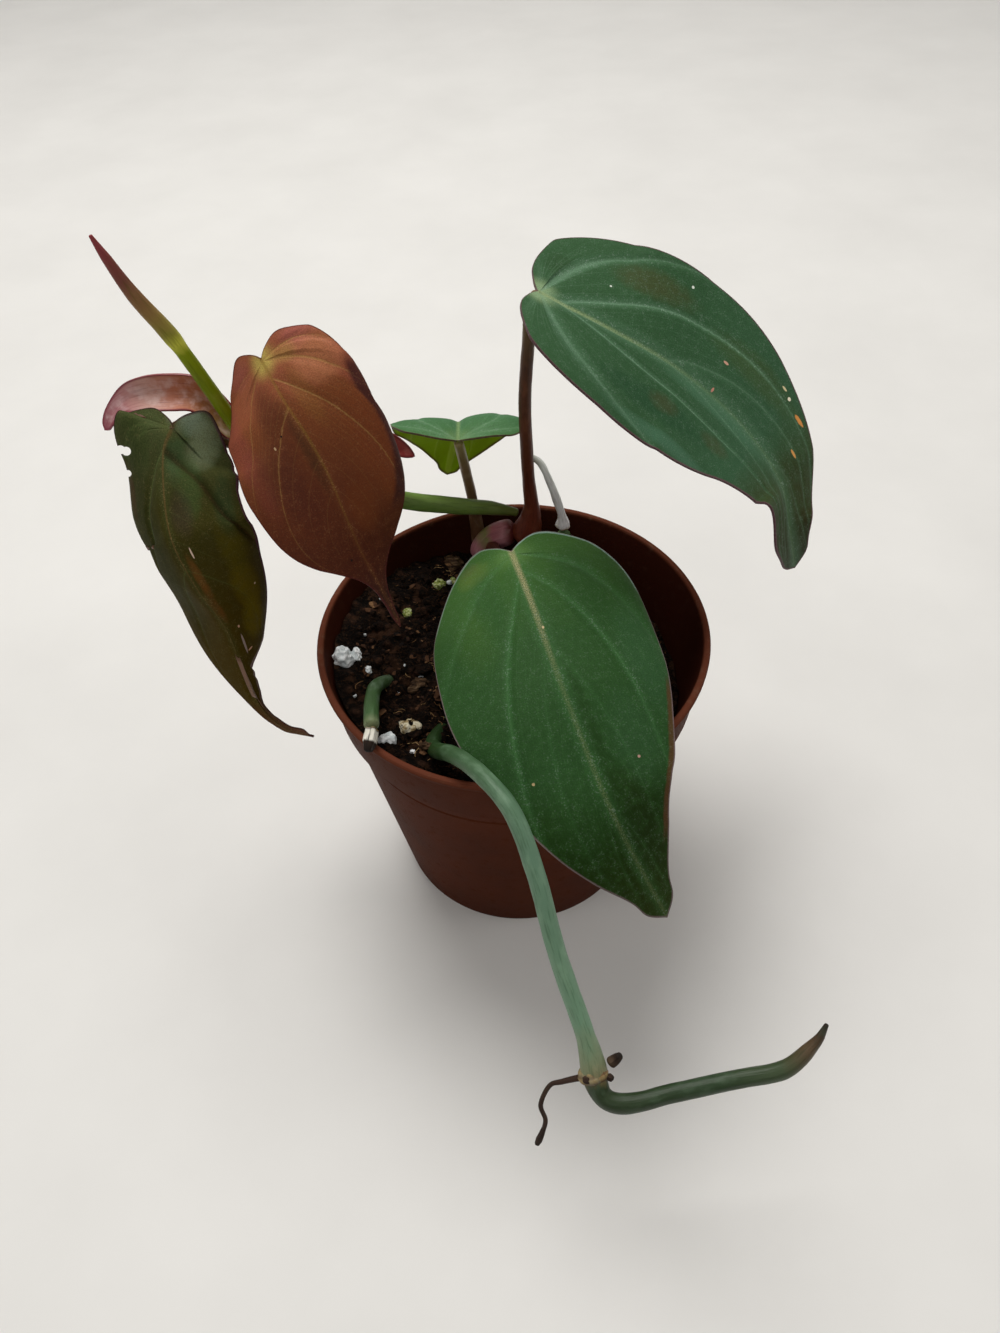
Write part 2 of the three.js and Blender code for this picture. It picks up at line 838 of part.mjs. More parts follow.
// Lumps in the surface of the soil.
const LUMPS = [
  {
    name: "perlite_large",
    centre: at(-30.3, -0.9, 56.8),
    size: at(1.6, 1.6, 1.5),
    seed: 3,
    colour: COLOUR.perlite,
  },
  {
    name: "perlite_beside",
    centre: at(-27.4, -0.4, 57),
    size: at(0.8, 1.2, 1),
    seed: 5,
    colour: COLOUR.perlite,
  },
  {
    name: "perlite_front",
    centre: at(-22.2, -20.6, 56.6),
    size: at(1.4, 1.1, 1),
    seed: 8,
    colour: COLOUR.perlite,
  },
  {
    name: "cream_crumb",
    centre: at(-19.3, -16.8, 55.7),
    size: at(2, 1.7, 1.4),
    seed: 11,
    colour: COLOUR.crumb,
  },
  {
    name: "bark",
    centre: at(-11.6, 26.4, 52.4),
    size: at(2, 1.8, 1.3),
    seed: 14,
    colour: COLOUR.bark,
  },
];

piece("pot", potGeometry(), COLOUR.pot, 0.55);

// A buried root, and a stem with such roots grown out of it.
const rootOf = (path) => ({
  path,
  radius: [
    [0, 0.8],
    [1, 0.35],
  ],
  sides: 5,
  steps: 5,
});
const withRoots = (stem, roots) => fuse(stalk(stem), ...roots.map((path) => stalk(rootOf(path))));

let soil = solidOf(soilGeometry());
const buried = [CROWN, FRONT_VINE, CUT_STUB, GREEN_STUB, FRONT_PETIOLE];
buried.push(...CROWN_ROOTS.map(rootOf), ...VINE_ROOTS.map(rootOf));
for (const stem of buried) soil = soil.subtract(solidOf(stalk(stem, SOIL.clearance)));
for (const shape of LUMPS) soil = soil.subtract(solidOf(lump(shape, GAP)));
piece("soil", geometryOf(soil), COLOUR.soil, 0.95);
for (const shape of LUMPS) piece(shape.name, lump(shape), shape.colour, 0.9);

piece("crown", withRoots(CROWN, CROWN_ROOTS), COLOUR.sheath);
piece("back_stem", stalk(BACK_STEM), COLOUR.stem, 0.5);
piece("right_petiole", stalk(RIGHT_PETIOLE), COLOUR.petiole, 0.5);
piece("front_petiole", stalk(FRONT_PETIOLE), COLOUR.petiole, 0.5);
piece("copper_petiole", stalk(COPPER_PETIOLE), COLOUR.petiole, 0.5);
piece("bronze_petiole", stalk(BRONZE_PETIOLE), COLOUR.petiole, 0.5);
piece("small_petiole", stalk(SMALL_PETIOLE), COLOUR.greyPetiole, 0.5);
piece("green_stub", stalk(GREEN_STUB), COLOUR.stem, 0.5);
piece("dried_stalk", stalk(DRIED_STALK), COLOUR.dried, 0.8);
piece("cut_stub", stalk(CUT_STUB), COLOUR.stem, 0.5);
piece("cut_end", stalk(CUT_END), COLOUR.dried, 0.9);
piece("front_vine", withRoots(FRONT_VINE, VINE_ROOTS), COLOUR.stem, 0.5);
piece("vine_shoot", stalk(VINE_SHOOT), COLOUR.stem, 0.5);
piece("aerial_root", stalk(AERIAL_ROOT), COLOUR.root, 0.8);
piece("node_stump", stalk(NODE_STUMP), COLOUR.root, 0.8);
piece("new_leaf", stalk(NEW_LEAF), COLOUR.newLeaf, 0.5);
piece("bud_sheath", blade(BUD_SHEATH, SHEATH_THICKNESS), COLOUR.sheath, 0.5);
piece("red_sheath", blade(RED_SHEATH, SHEATH_THICKNESS), COLOUR.sheath, 0.5);
piece("right_blade", blade(RIGHT_BLADE), COLOUR.blueBlade);
piece("front_blade", blade(FRONT_BLADE), COLOUR.greenBlade);
piece("copper_blade", blade(COPPER_BLADE), COLOUR.copperBlade);
piece("bronze_blade", blade(BRONZE_BLADE), COLOUR.bronzeBlade);
piece("small_blade", blade(SMALL_BLADE), COLOUR.smallBlade);

export default plant;
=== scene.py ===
# %% [markdown]
# # A young velvet leaf philodendron in a small nursery pot
# The plant has five velvety leaves, a rolled new one, a green vine that hangs over the rim, and
# a round brown pot full of dark peat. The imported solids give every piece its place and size. Each
# step below makes a finer piece in the place of its solid, and a finish that varies over its surface.

# %% Load the frame
import math
import random

import bpy
import numpy as np
from mathutils import Euler, Matrix, Vector, noise


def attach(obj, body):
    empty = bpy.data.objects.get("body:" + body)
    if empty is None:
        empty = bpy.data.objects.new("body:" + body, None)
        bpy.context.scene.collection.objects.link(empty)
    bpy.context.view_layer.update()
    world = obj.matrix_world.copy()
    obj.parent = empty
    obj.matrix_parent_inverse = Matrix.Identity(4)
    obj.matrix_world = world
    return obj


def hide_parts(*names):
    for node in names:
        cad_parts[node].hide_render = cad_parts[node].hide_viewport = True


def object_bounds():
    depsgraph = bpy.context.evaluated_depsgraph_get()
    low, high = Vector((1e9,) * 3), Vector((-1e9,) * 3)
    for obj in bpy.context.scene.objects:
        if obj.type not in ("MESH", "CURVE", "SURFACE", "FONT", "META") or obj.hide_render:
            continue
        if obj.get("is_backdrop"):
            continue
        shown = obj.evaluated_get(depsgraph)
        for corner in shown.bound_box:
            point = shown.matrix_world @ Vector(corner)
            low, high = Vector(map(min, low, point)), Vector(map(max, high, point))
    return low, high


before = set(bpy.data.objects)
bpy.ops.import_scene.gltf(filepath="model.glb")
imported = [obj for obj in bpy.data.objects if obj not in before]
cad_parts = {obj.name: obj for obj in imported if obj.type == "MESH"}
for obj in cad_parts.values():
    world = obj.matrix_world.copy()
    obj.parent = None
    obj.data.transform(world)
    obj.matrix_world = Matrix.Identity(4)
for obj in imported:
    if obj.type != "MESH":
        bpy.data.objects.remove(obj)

cad_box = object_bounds()
print("solids:", len(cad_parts), "box in mm:", [round(1000 * side) for side in cad_box[1] - cad_box[0]])

# %% [markdown]
# ## Small tools
# All the measures of the plant are in millimetres, and Blender works in metres, so the two helpers
# that read and write a mesh convert. A smooth line through a few points is used everywhere: for a
# leaf's outline, for its rib and for every stem. Blender's own curves could do it, but the same
# cubic as a formula gives places, headings and lengths to the leaf maths too.

# %% Millimetres, meshes and modifiers
MM = 0.001


def places_of(piece):
    flat = np.empty(3 * len(piece.data.vertices), np.float32)
    piece.data.vertices.foreach_get("co", flat)
    return flat.reshape(-1, 3).astype(float) / MM


def move_to(piece, places):
    piece.data.vertices.foreach_set("co", (places * MM).astype(np.float32).ravel())
    piece.data.update()


def paint(piece, **layers):
    """Stores numbers or vectors on the vertices, for the finishes to read."""
    for name, values in layers.items():
        kind, field = ("FLOAT_VECTOR", "vector") if values.ndim == 2 else ("FLOAT", "value")
        layer = piece.data.attributes.new(name, kind, "POINT")
        layer.data.foreach_set(field, values.astype(np.float32).ravel())


def painted(piece, name):
    values = np.empty(len(piece.data.vertices), np.float32)
    piece.data.attributes[name].data.foreach_get("value", values)
    return values.astype(float)


def pick(*pieces):
    bpy.ops.object.select_all(action="DESELECT")
    for piece in pieces:
        piece.select_set(True)
    bpy.context.view_layer.objects.active = pieces[0]


def merge_doubles(piece, distance=0.002):
    pick(piece)
    bpy.ops.object.mode_set(mode="EDIT")
    bpy.ops.mesh.select_all(action="SELECT")
    bpy.ops.mesh.remove_doubles(threshold=distance * MM)
    bpy.ops.object.mode_set(mode="OBJECT")


def modify(piece, kind, **settings):
    modifier = piece.modifiers.new(kind.lower(), kind)
    for name, value in settings.items():
        setattr(modifier, name, value)
    pick(piece)
    bpy.ops.object.modifier_apply(modifier=modifier.name)


def smooth(piece, degrees=50):
    pick(piece)
    bpy.ops.object.shade_smooth_by_angle(angle=math.radians(degrees))


def cut(piece, tool):
    """A Boolean takes the tool's volume out of the piece, and the tool goes."""
    modify(piece, "BOOLEAN", object=tool, operation="DIFFERENCE", solver="EXACT")
    bpy.data.objects.remove(tool)


def flat_sheet(name, columns, rows):
    """A flat grid, with each vertex's share of the way across and along it."""
    bpy.ops.object.select_all(action="DESELECT")
    bpy.ops.mesh.primitive_grid_add(x_subdivisions=columns, y_subdivisions=rows, size=1)
    piece = bpy.context.object
    piece.name = piece.data.name = name
    across, along = (places_of(piece)[:, :2] * MM + 0.5).T
    return piece, across, along


def join(name, pieces):
    pick(*pieces)
    bpy.ops.object.join()
    whole = bpy.context.object
    whole.name = whole.data.name = name
    bpy.ops.object.transform_apply(location=True, rotation=True, scale=True)
    return whole


def settle(piece, slot, *nodes):
    """The piece rides on the plant's one body, in the place of its solids."""
    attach(piece, "root")
    if nodes:
        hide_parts(*nodes)
    print(piece.name, len(piece.data.polygons), "faces")


# %% Smooth lines
def smooth_through(points, share):
    """Places on a smooth line, with equal shares from each point to the next."""
    points = np.array(points, float)
    padded = np.vstack([2 * points[0] - points[1], points, 2 * points[-1] - points[-2]])
    place = np.clip(share, 0, 1) * (len(points) - 1)
    first = np.minimum(place.astype(int), len(points) - 2)
    s = (place - first)[:, None]
    before, start, end, after = (padded[first + k] for k in range(4))
    leaving, arriving = (end - before) / 2, (after - start) / 2
    ends = (2 * s**3 - 3 * s**2 + 1) * start + (3 * s**2 - 2 * s**3) * end
    return ends + (s**3 - 2 * s**2 + s) * leaving + (s**3 - s**2) * arriving


def unit(vectors):
    return vectors / np.linalg.norm(vectors, axis=-1, keepdims=True)


class Line:
    """A smooth line that is followed by its length."""

    def __init__(self, points):
        self.places = smooth_through(points, np.linspace(0, 1, 1601))
        steps = np.linalg.norm(np.diff(self.places, axis=0), axis=1)
        self.run = np.concatenate([[0], np.cumsum(steps)])
        self.length = self.run[-1]

    def at(self, share):
        share = np.asarray(share, float)
        return np.stack([np.interp(share * self.length, self.run, axis) for axis in self.places.T], axis=-1)

    def heading(self, share, reach=0.004):
        share = np.asarray(share, float)
        return unit(self.at(np.minimum(share + reach, 1)) - self.at(np.maximum(share - reach, 0)))


# %% [markdown]
# ## Writing materials as sums
# A finish here is mostly arithmetic: how far a place is from a vein, how much of a stain is left. The
# same sums could be wired by hand in the node editor. One small class holds a socket instead, so that
# a sum in Python adds the Math nodes, and a second class makes every other node by one method.

# %% Wires and finishes
def tone(code, share=1.0):
    """A colour code, such as '#3b6a44', in the linear values that shaders use."""
    parts = [int(code[i : i + 2], 16) / 255 for i in (1, 3, 5)]
    linear = [p / 12.92 if p <= 0.04045 else ((p + 0.055) / 1.055) ** 2.4 for p in parts]
    return (*[share * part for part in linear], 1.0)


class Wire:
    """One socket of a material. Sums written with it become Math nodes."""

    def __init__(self, finish, socket):
        self.finish, self.socket = finish, socket

    def math(self, operation, *values):
        sockets = dict(enumerate(values))
        return self.finish.node("ShaderNodeMath", {"operation": operation}, sockets)

    def __add__(self, other):
        return self.math("ADD", self, other)

    def __sub__(self, other):
        return self.math("SUBTRACT", self, other)

    def __rsub__(self, other):
        return self.math("SUBTRACT", other, self)

    def __mul__(self, other):
        return self.math("MULTIPLY", self, other)

    def __truediv__(self, other):
        return self.math("DIVIDE", self, other)

    def __pow__(self, other):
        return self.math("POWER", self, other)

    __radd__ = __add__
    __rmul__ = __mul__

    def size(self):
        return self.math("ABSOLUTE", self)

    def fraction(self):
        return self.math("FRACT", self)

    def most(self, other):
        return self.math("MAXIMUM", self, other)

    def rise(self, low, high):
        """0 up to low, 1 from high on, and a soft step between them."""
        ends = {"Value": self, "From Min": low, "From Max": high}
        return self.finish.node("ShaderNodeMapRange", {"interpolation_type": "SMOOTHSTEP"}, ends)

    def axis(self, index):
        return self.finish.node("ShaderNodeSeparateXYZ", sockets={0: self}, output=index)


class Finish:
    """A material with one surface shader."""

    def __init__(self, name):
        self.material = bpy.data.materials.new(name)
        self.material.use_nodes = True
        self.tree = self.material.node_tree
        self.shader = self.tree.nodes["Principled BSDF"]

    def feed(self, socket, value):
        if isinstance(value, Wire):
            self.tree.links.new(value.socket, socket)
        else:
            socket.default_value = tone(value) if isinstance(value, str) else value

    def node(self, kind, settings=None, sockets=None, output=0):
        node = self.tree.nodes.new(kind)
        for name, value in (settings or {}).items():
            if name == "stops":
                for spare in range(len(value) - 2):
                    node.color_ramp.elements.new(0.5)
                for element, (place, colour) in zip(node.color_ramp.elements, value):
                    element.position = place
                    element.color = tone(colour) if isinstance(colour, str) else colour
            else:
                setattr(node, name, value)
        for name, value in (sockets or {}).items():
            self.feed(node.inputs[name], value)
        return Wire(self, node.outputs[output])

    def surface(self, specular=0.5, **sockets):
        self.feed(self.shader.inputs["Specular IOR Level"], specular)
        for name, value in sockets.items():
            self.feed(self.shader.inputs[name.replace("_", " ").title()], value)

    def attribute(self, name, output="Fac"):
        return self.node("ShaderNodeAttribute", {"attribute_name": name}, output=output)

    def object_mm(self):
        place = self.node("ShaderNodeTexCoord", output="Object")
        return self.node("ShaderNodeVectorMath", {"operation": "SCALE"}, {0: place, "Scale": 1 / MM})

    def stretched(self, vector, stretch):
        return self.node("ShaderNodeVectorMath", {"operation": "MULTIPLY"}, {0: vector, 1: stretch})

    def noise(self, vector, scale, detail=3.0, roughness=0.55):
        sockets = {"Vector": vector, "Scale": scale, "Detail": detail, "Roughness": roughness}
        return self.node("ShaderNodeTexNoise", sockets=sockets)

    def cells(self, vector, scale, output="Distance", feature="F1"):
        sockets = {"Vector": vector, "Scale": scale}
        return self.node("ShaderNodeTexVoronoi", {"feature": feature}, sockets, output)

    def blend(self, share, first, second, mode="MIX"):
        settings = {"data_type": "RGBA", "blend_type": mode}
        return self.node("ShaderNodeMix", settings, {0: share, 6: first, 7: second}, 2)

    def ramp(self, share, *stops):
        return self.node("ShaderNodeValToRGB", {"stops": stops}, {0: share})

    def bump(self, height, depth, strength=1.0, under=None):
        sockets = {"Height": height, "Distance": depth * MM, "Strength": strength}
        if under is not None:
            sockets["Normal"] = under
        return self.node("ShaderNodeBump", sockets=sockets)


# %% [markdown]
# ## Camera
# The photograph was taken by hand from above the front of the pot, with a wide lens, tilted by three
# degrees. A pinhole camera fitted to the pot's rim and foot gives its place, its tilt and its lens.

# %% The camera
FRAME_HEIGHT = 1333  # pixels of the photograph
FOCAL_PIXELS = 1001
CAMERA_AT = (-2.6, -124.2, 189.9)
CAMERA_PITCH = 48.24  # degrees down
CAMERA_ROLL = -3
SENSOR = 36
lens = bpy.data.cameras.new("camera")
lens.sensor_width = SENSOR
lens.lens = SENSOR * FOCAL_PIXELS / FRAME_HEIGHT
lens.clip_start = 0.01
camera = bpy.data.objects.new("camera", lens)
camera.matrix_world = (
    Matrix.Translation(Vector(CAMERA_AT) * MM)
    @ Matrix.Rotation(math.radians(90 - CAMERA_PITCH), 4, "X")
    @ Matrix.Rotation(math.radians(CAMERA_ROLL), 4, "Z")
)
bpy.context.scene.collection.objects.link(camera)
bpy.context.scene.camera = camera
print("lens", round(lens.lens, 2), "mm")

# %% [markdown]
# ## Floor and light
# A pale floor and large soft lamps: a big one above and a little behind, as the leaves catch the
# light on their upper sides and the pot's front is in shade, and weaker ones from the left, the right
# and the front, which keep the shaded sides readable.

# %% The floor
bpy.context.scene.view_settings.view_transform = "Standard"
bpy.ops.object.select_all(action="DESELECT")
bpy.ops.mesh.primitive_plane_add(size=4)
floor = bpy.context.object
floor.name = "floor"
floor_finish = Finish("pale_floor")
speckle = floor_finish.noise(floor_finish.object_mm(), 0.02, 4)
floor_finish.surface(
    base_color=floor_finish.ramp(speckle, (0.3, (0.78, 0.77, 0.75, 1)), (0.7, (0.83, 0.82, 0.80, 1))),
    roughness=0.6,
)
floor.data.materials.append(floor_finish.material)
floor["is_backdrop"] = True


# %% The lamps
def lamp(name, place, target, size, power, colour=(1, 1, 1)):
    light = bpy.data.lights.new(name, "AREA")
    light.shape = "DISK"
    light.size = size
    light.energy = power
    light.color = colour
    holder = bpy.data.objects.new(name, light)
    holder.location = place
    holder.rotation_euler = (Vector(target) - Vector(place)).to_track_quat("-Z", "Y").to_euler()
    bpy.context.scene.collection.objects.link(holder)


lamp("overhead", (-0.12, 0.36, 0.87), (0, 0, 0.06), 0.55, 6.3, (1, 0.985, 0.95))
lamp("left_fill", (-0.9, -0.35, 0.7), (0, 0, 0.06), 0.6, 1.0, (1, 0.99, 0.97))
lamp("right_fill", (0.9, -0.1, 0.7), (0, 0, 0.06), 0.6, 1.45, (1, 0.98, 0.95))
lamp("front_fill", (-0.1, -0.8, 0.95), (0, 0, 0.08), 0.6, 1.2, (1, 0.98, 0.95))
world = bpy.data.worlds.new("soft_room")
bpy.context.scene.world = world
world.use_nodes = True
world.node_tree.nodes["Background"].inputs["Color"].default_value = (1, 0.97, 0.93, 1)
world.node_tree.nodes["Background"].inputs["Strength"].default_value = 0.24

# %% [markdown]
# ## Pot
# The real pot is one moulded shell of thin brown plastic: a tapered cup with a stepped collar, a
# rounded lip and a foot ring. A lathe profile could be spun round the axis. Here one ring of edges is
# drawn up instead, with extrude and resize, as a moulder's profile reads from the foot to the lip and
# down the inside. The holes in the floor are cut by a Boolean, and a bevel rounds every corner.

# %% Pot shape
POT_FACETS = 144
COLLAR_Z = 50
POT_PROFILE = [  # radius and height, from the foot in the middle of the underside to the inner floor
    (11, 0), (12, 1.2), (21.4, 1.2), (22.4, 0), (25.0, 0), (25.2, 1.2), (31.55, 45.7), (31.42, 46),
    (31.6, 46.3), (32, 49.6), (33.2, COLLAR_Z), (34.2, 58.9), (34.62, 59.4), (34.95, 59.9), (35, 60.4),
    (34.75, 60.85), (34.3, 61), (33.9, 60.85), (33.6, 60.3), (30.8, 48), (23.9, 3), (23.1, 2.4),
]
DRAIN_HOLES, DRAIN_HOLE_RADIUS, DRAIN_RING_RADIUS = 6, 2.6, 17


def draw_up(radius, height, last):
    """Extrudes the selected ring of edges to a new radius and height."""
    bpy.ops.mesh.extrude_region_move()
    growth = radius / last[0]
    bpy.ops.transform.resize(value=(growth, growth, 1), center_override=(0, 0, 0))
    bpy.ops.transform.translate(value=(0, 0, (height - last[1]) * MM))


def lathe(name, profile, facets):
    bpy.ops.object.select_all(action="DESELECT")
    radius, height = profile[0]
    bpy.ops.mesh.primitive_circle_add(vertices=facets, radius=radius * MM, location=(0, 0, height * MM))
    piece = bpy.context.object
    piece.name = piece.data.name = name
    bpy.ops.object.transform_apply(location=True, rotation=True, scale=True)
    bpy.ops.object.mode_set(mode="EDIT")
    bpy.ops.mesh.select_all(action="SELECT")
    bpy.ops.mesh.edge_face_add()
    bpy.ops.mesh.select_all(action="DESELECT")
    bpy.ops.mesh.select_non_manifold()
    for last, (radius, height) in zip(profile, profile[1:]):
        draw_up(radius, height, last)
    bpy.ops.mesh.edge_face_add()
    bpy.ops.mesh.select_all(action="SELECT")
    bpy.ops.mesh.normals_make_consistent(inside=False)
    bpy.ops.object.mode_set(mode="OBJECT")
    return piece


pot = lathe("pot_shell", POT_PROFILE, POT_FACETS)
for hole in range(DRAIN_HOLES):
    turn = math.tau * hole / DRAIN_HOLES
    centre = Vector((DRAIN_RING_RADIUS * math.cos(turn), DRAIN_RING_RADIUS * math.sin(turn), 2)) * MM
    bpy.ops.mesh.primitive_cylinder_add(
        vertices=40, radius=DRAIN_HOLE_RADIUS * MM, depth=9 * MM, location=centre
    )
    cut(pot, bpy.context.object)
modify(pot, "BEVEL", width=0.18 * MM, segments=2, limit_method="ANGLE", angle_limit=math.radians(35))
smooth(pot, 30)

# %% [markdown]
# The plastic is matte and terracotta brown. It has fine rings from the mould, a dusty lip with a
# painted highlight, and smears of dried soil on the inner wall, which is painted darker as shade.

# %% Pot finish
plastic = Finish("pot_plastic")
spot = plastic.object_mm()
height = spot.axis(2)
grain = plastic.noise(spot, 3.2, 2)
cloud = plastic.noise(spot, 0.09, 4)
radius_out = (spot.axis(0) ** 2 + spot.axis(1) ** 2) ** 0.5
wall_middle = 24.2 + 0.1465 * height + 0.0565 * (height - 47).most(0)
inside = (wall_middle - radius_out).rise(0.0, 0.2) * height.rise(2.4, 3.4)
dust = plastic.noise(spot, 0.5, 5, 0.65).rise(0.52, 0.78)
lip = height.rise(60.0, 60.8)
skin = plastic.ramp(cloud, (0.3, "#401906"), (0.7, "#4b200b"))
# painted highlight: the lip is made lighter where the lamp above falls on it
skin = plastic.blend(lip * 0.4, skin, "#804a38")
# painted shade: the inner wall is darker than the outside, as shade falls inside the pot
skin = plastic.blend(inside * 0.9, skin, "#34150c")
skin = plastic.blend(dust * (0.01 + 0.3 * lip + 0.08 * inside), skin, "#7a6250")
moulding = (height * 2.6 + 0.35 * grain).math("SINE", height * 16 + 2.0 * grain)
plastic.surface(
    base_color=skin,
    roughness=0.56 + 0.2 * dust + 0.1 * cloud,
    normal=plastic.bump(grain + 0.25 * moulding, 0.06, 0.5),
    specular=0.05,
)
pot.data.materials.append(plastic.material)
settle(pot, "pot_plastic", "pot")

# %% [markdown]
# ## Soil
# Peat fills the pot up to a surface that is higher at the left. It could be a displaced disc alone,
# but peat is loose: so the disc carries the large lumps and hollows, and hundreds of separate crumbs,
# chips, fibres and white grains lie on it.

# %% Soil surface
SOIL_RADIUS, SOIL_LEVEL, FALL_TO_RIGHT, FALL_TO_BACK, SOIL_BUMP = 32, 52.3, 5, 1.3, 0.55
SOIL_WALL = [(31.1, 47), (24.2, 3.6), (22.8, 2.8)]  # radius and height, just inside the pot's wall
SOIL_SQUARES = 190


def soil_height(x, y):
    slope = -FALL_TO_RIGHT * x / SOIL_RADIUS - FALL_TO_BACK * y / SOIL_RADIUS
    bumps = (
        np.sin(0.31 * x + 1.3) * np.cos(0.27 * y - 0.4)
        + 0.7 * np.sin(0.71 * x - 0.53 * y)
        + 0.5 * np.cos(1.13 * x + 0.97 * y + 2)
    )
    return SOIL_LEVEL + slope + SOIL_BUMP * bumps


HEAPS = [  # place, radius and height of soil pushed up round the stems
    (-11.4, -5, 2.4, 1.2), (-13.2, -11, 2.2, 1.0), (-17.6, -17.2, 2.2, 0.5), (-4.6, 25.8, 4, 1.2),
    (-19.8, -3, 2, 0.6), (9, 24.5, 4, 0.6),
]


def clods(x, y):
    """Rounded lumps of three sizes and a few heaps, in mm above the plain surface."""
    total = 0
    for at_x, at_y, wide, tall in HEAPS:
        total += tall * math.exp(-((x - at_x) ** 2 + (y - at_y) ** 2) / wide**2)
    for cell, lift in ((4.2, 1.3), (1.9, 0.8), (0.9, 0.4)):
        distance = noise.voronoi(Vector((x / cell, y / cell, 7 * cell)))[0]
        total += lift * (0.55 - distance[0] ** 2) * min(1, 2 * (distance[1] - distance[0]) + 0.3)
    return total + 0.35 * noise.noise(Vector((x * 1.7, y * 1.7, 3)))


def bore_at(height):
    radii, heights = zip(*[(33.1, 60), (30.45, 48), (23.5, 2.4)])
    return np.interp(height, heights[::-1], radii[::-1])


soil, across, along = flat_sheet("soil_bed", SOIL_SQUARES, SOIL_SQUARES)
square_x, square_y = 2 * across - 1, 2 * along - 1
disc_x = square_x * np.sqrt(1 - square_y**2 / 2)
disc_y = square_y * np.sqrt(1 - square_x**2 / 2)
out = np.hypot(disc_x, disc_y)
to_wall = SOIL_RADIUS / np.maximum(out, 1e-6)
reach = bore_at(soil_height(to_wall * disc_x, to_wall * disc_y))
x, y = disc_x * reach, disc_y * reach
lift = np.array([clods(a, b) for a, b in zip(x, y)]) * np.clip(3 * (1 - out), 0.25, 1)
move_to(soil, np.stack([x, y, soil_height(x, y) + lift], axis=1))
pick(soil)
bpy.ops.object.mode_set(mode="EDIT")
bpy.ops.mesh.select_all(action="DESELECT")
bpy.ops.mesh.select_non_manifold()
bpy.ops.mesh.extrude_region_move()
bpy.ops.transform.resize(value=(1, 1, 0), center_override=(0, 0, 46 * MM))
bpy.ops.transform.resize(value=(0.955, 0.955, 1), center_override=(0, 0, 0))
bpy.ops.mesh.extrude_region_move()
bpy.ops.transform.resize(value=(0.79, 0.79, 1), center_override=(0, 0, 0))
bpy.ops.transform.translate(value=(0, 0, -43.2 * MM))
bpy.ops.mesh.edge_face_add()
bpy.ops.mesh.select_all(action="SELECT")
bpy.ops.mesh.normals_make_consistent(inside=False)
bpy.ops.object.mode_set(mode="OBJECT")
smooth(soil, 60)

# %% Soil finish
peat = Finish("peat")
spot = peat.object_mm()
fine = peat.noise(spot, 2.2, 6, 0.75)
coarse = peat.noise(spot, 0.3, 4)
strand = peat.noise(peat.stretched(spot, (0.6, 3.2, 1)), 1.4, 4).rise(0.56, 0.70)
earth = peat.ramp(
    fine, (0.4, "#040202"), (0.5, "#150c07"), (0.6, "#3c2819"), (0.7, "#7a563a")
)
painted_clod_shade = peat.cells(spot, 0.62).rise(0.3, 0.62)
clod_kind = peat.cells(spot, 0.62, "Color").axis(0)
earth = peat.blend(clod_kind.rise(0.62, 0.95) * 0.5, earth, "#54382a")
# painted shade: the borders between the clods are darkened to near black
earth = peat.blend(painted_clod_shade * 0.7, earth, "#040201")
earth = peat.blend(coarse.rise(0.5, 0.68) * 0.6, earth, "#080504")
earth = peat.blend((1 - coarse).rise(0.54, 0.66) * 0.6, earth, "#4a3020")
earth = peat.blend(strand * 0.5, earth, "#5a3c26")
peat.surface(
    base_color=earth,
    roughness=0.92,
    normal=peat.bump(fine + 0.5 * strand - 0.8 * painted_clod_shade, 0.8, 1.0),
    specular=0.1,
)
soil.data.materials.append(peat.material)
settle(soil, "peat", "soil")


# %% [markdown]
# ## Crumbs
# One rough crumb is modelled from a ball with its corners pushed in and out. It is copied several
# hundred times at a turn, a size and a place that a seeded draw gives. A few dozen faces are enough
# for a crumb of a millimetre. The white grains of perlite and the larger lumps are placed one by one,
# where they lie in the photograph, and have more faces.

# %% Crumbs of peat
def rough_lump(name, seed, cuts, rough=0.22):
    """A ball of one unit with its surface pushed in and out."""
    bpy.ops.object.select_all(action="DESELECT")
    bpy.ops.mesh.primitive_ico_sphere_add(subdivisions=cuts, radius=1)
    lump = bpy.context.object
    lump.name = lump.data.name = name
    shift = Vector((seed, 2 * seed, 3 * seed))
    for vertex in lump.data.vertices:
        low = noise.noise(vertex.co * 0.9 + shift)
        high = noise.noise(vertex.co * 2.4 + shift)
        vertex.co *= 1 + rough * (1.6 * low + high)
    return lump


def scatter(name, models, spots):
    """Copies of the models, one for each spot: place in mm, size in mm along each axis, and turn."""
    copies = []
    for index, (place, size, turn) in enumerate(spots):
        copy = models[index % len(models)].copy()
        copy.data = copy.data.copy()
        copy.location = Vector(place) * MM
        copy.scale = Vector(size) * MM
        copy.rotation_euler = Euler(turn)
        bpy.context.scene.collection.objects.link(copy)
        copies.append(copy)
    for model in models:
        bpy.data.objects.remove(model)
    whole = join(name, copies)
    smooth(whole, 35)
    return whole


def draw_spots(count, low, high, seed, sink=0.25, flat=0.7):
    """Seeded spots for crumbs of low to high mm on the surface of the soil."""
    draw = random.Random(seed)
    spots = []
    for _ in range(count):
        size = low + (high - low) * draw.random() ** 2.5
        distance, turn = (29.8 - 1.2 * size) * math.sqrt(draw.random()), draw.uniform(0, math.tau)
        x, y = distance * math.cos(turn), distance * math.sin(turn)
        z = soil_height(x, y) + clods(x, y) - sink * size
        spread = [size * draw.uniform(0.7, 1.3) for _ in range(2)]
        turns = (draw.uniform(-0.5, 0.5), draw.uniform(-0.5, 0.5), draw.uniform(0, math.tau))
        spots.append(((x, y, z), (*spread, size * flat), turns))
    return spots


def lumps_of(kinds, cuts, rough=0.22):
    return [rough_lump(f"lump_{kind}", 3.7 * kind, cuts, rough) for kind in range(kinds)]


crumbs = scatter("peat_crumbs", lumps_of(4, 2), draw_spots(700, 0.35, 1.6, 21))
crumbs.data.materials.append(peat.material)
settle(crumbs, "peat")

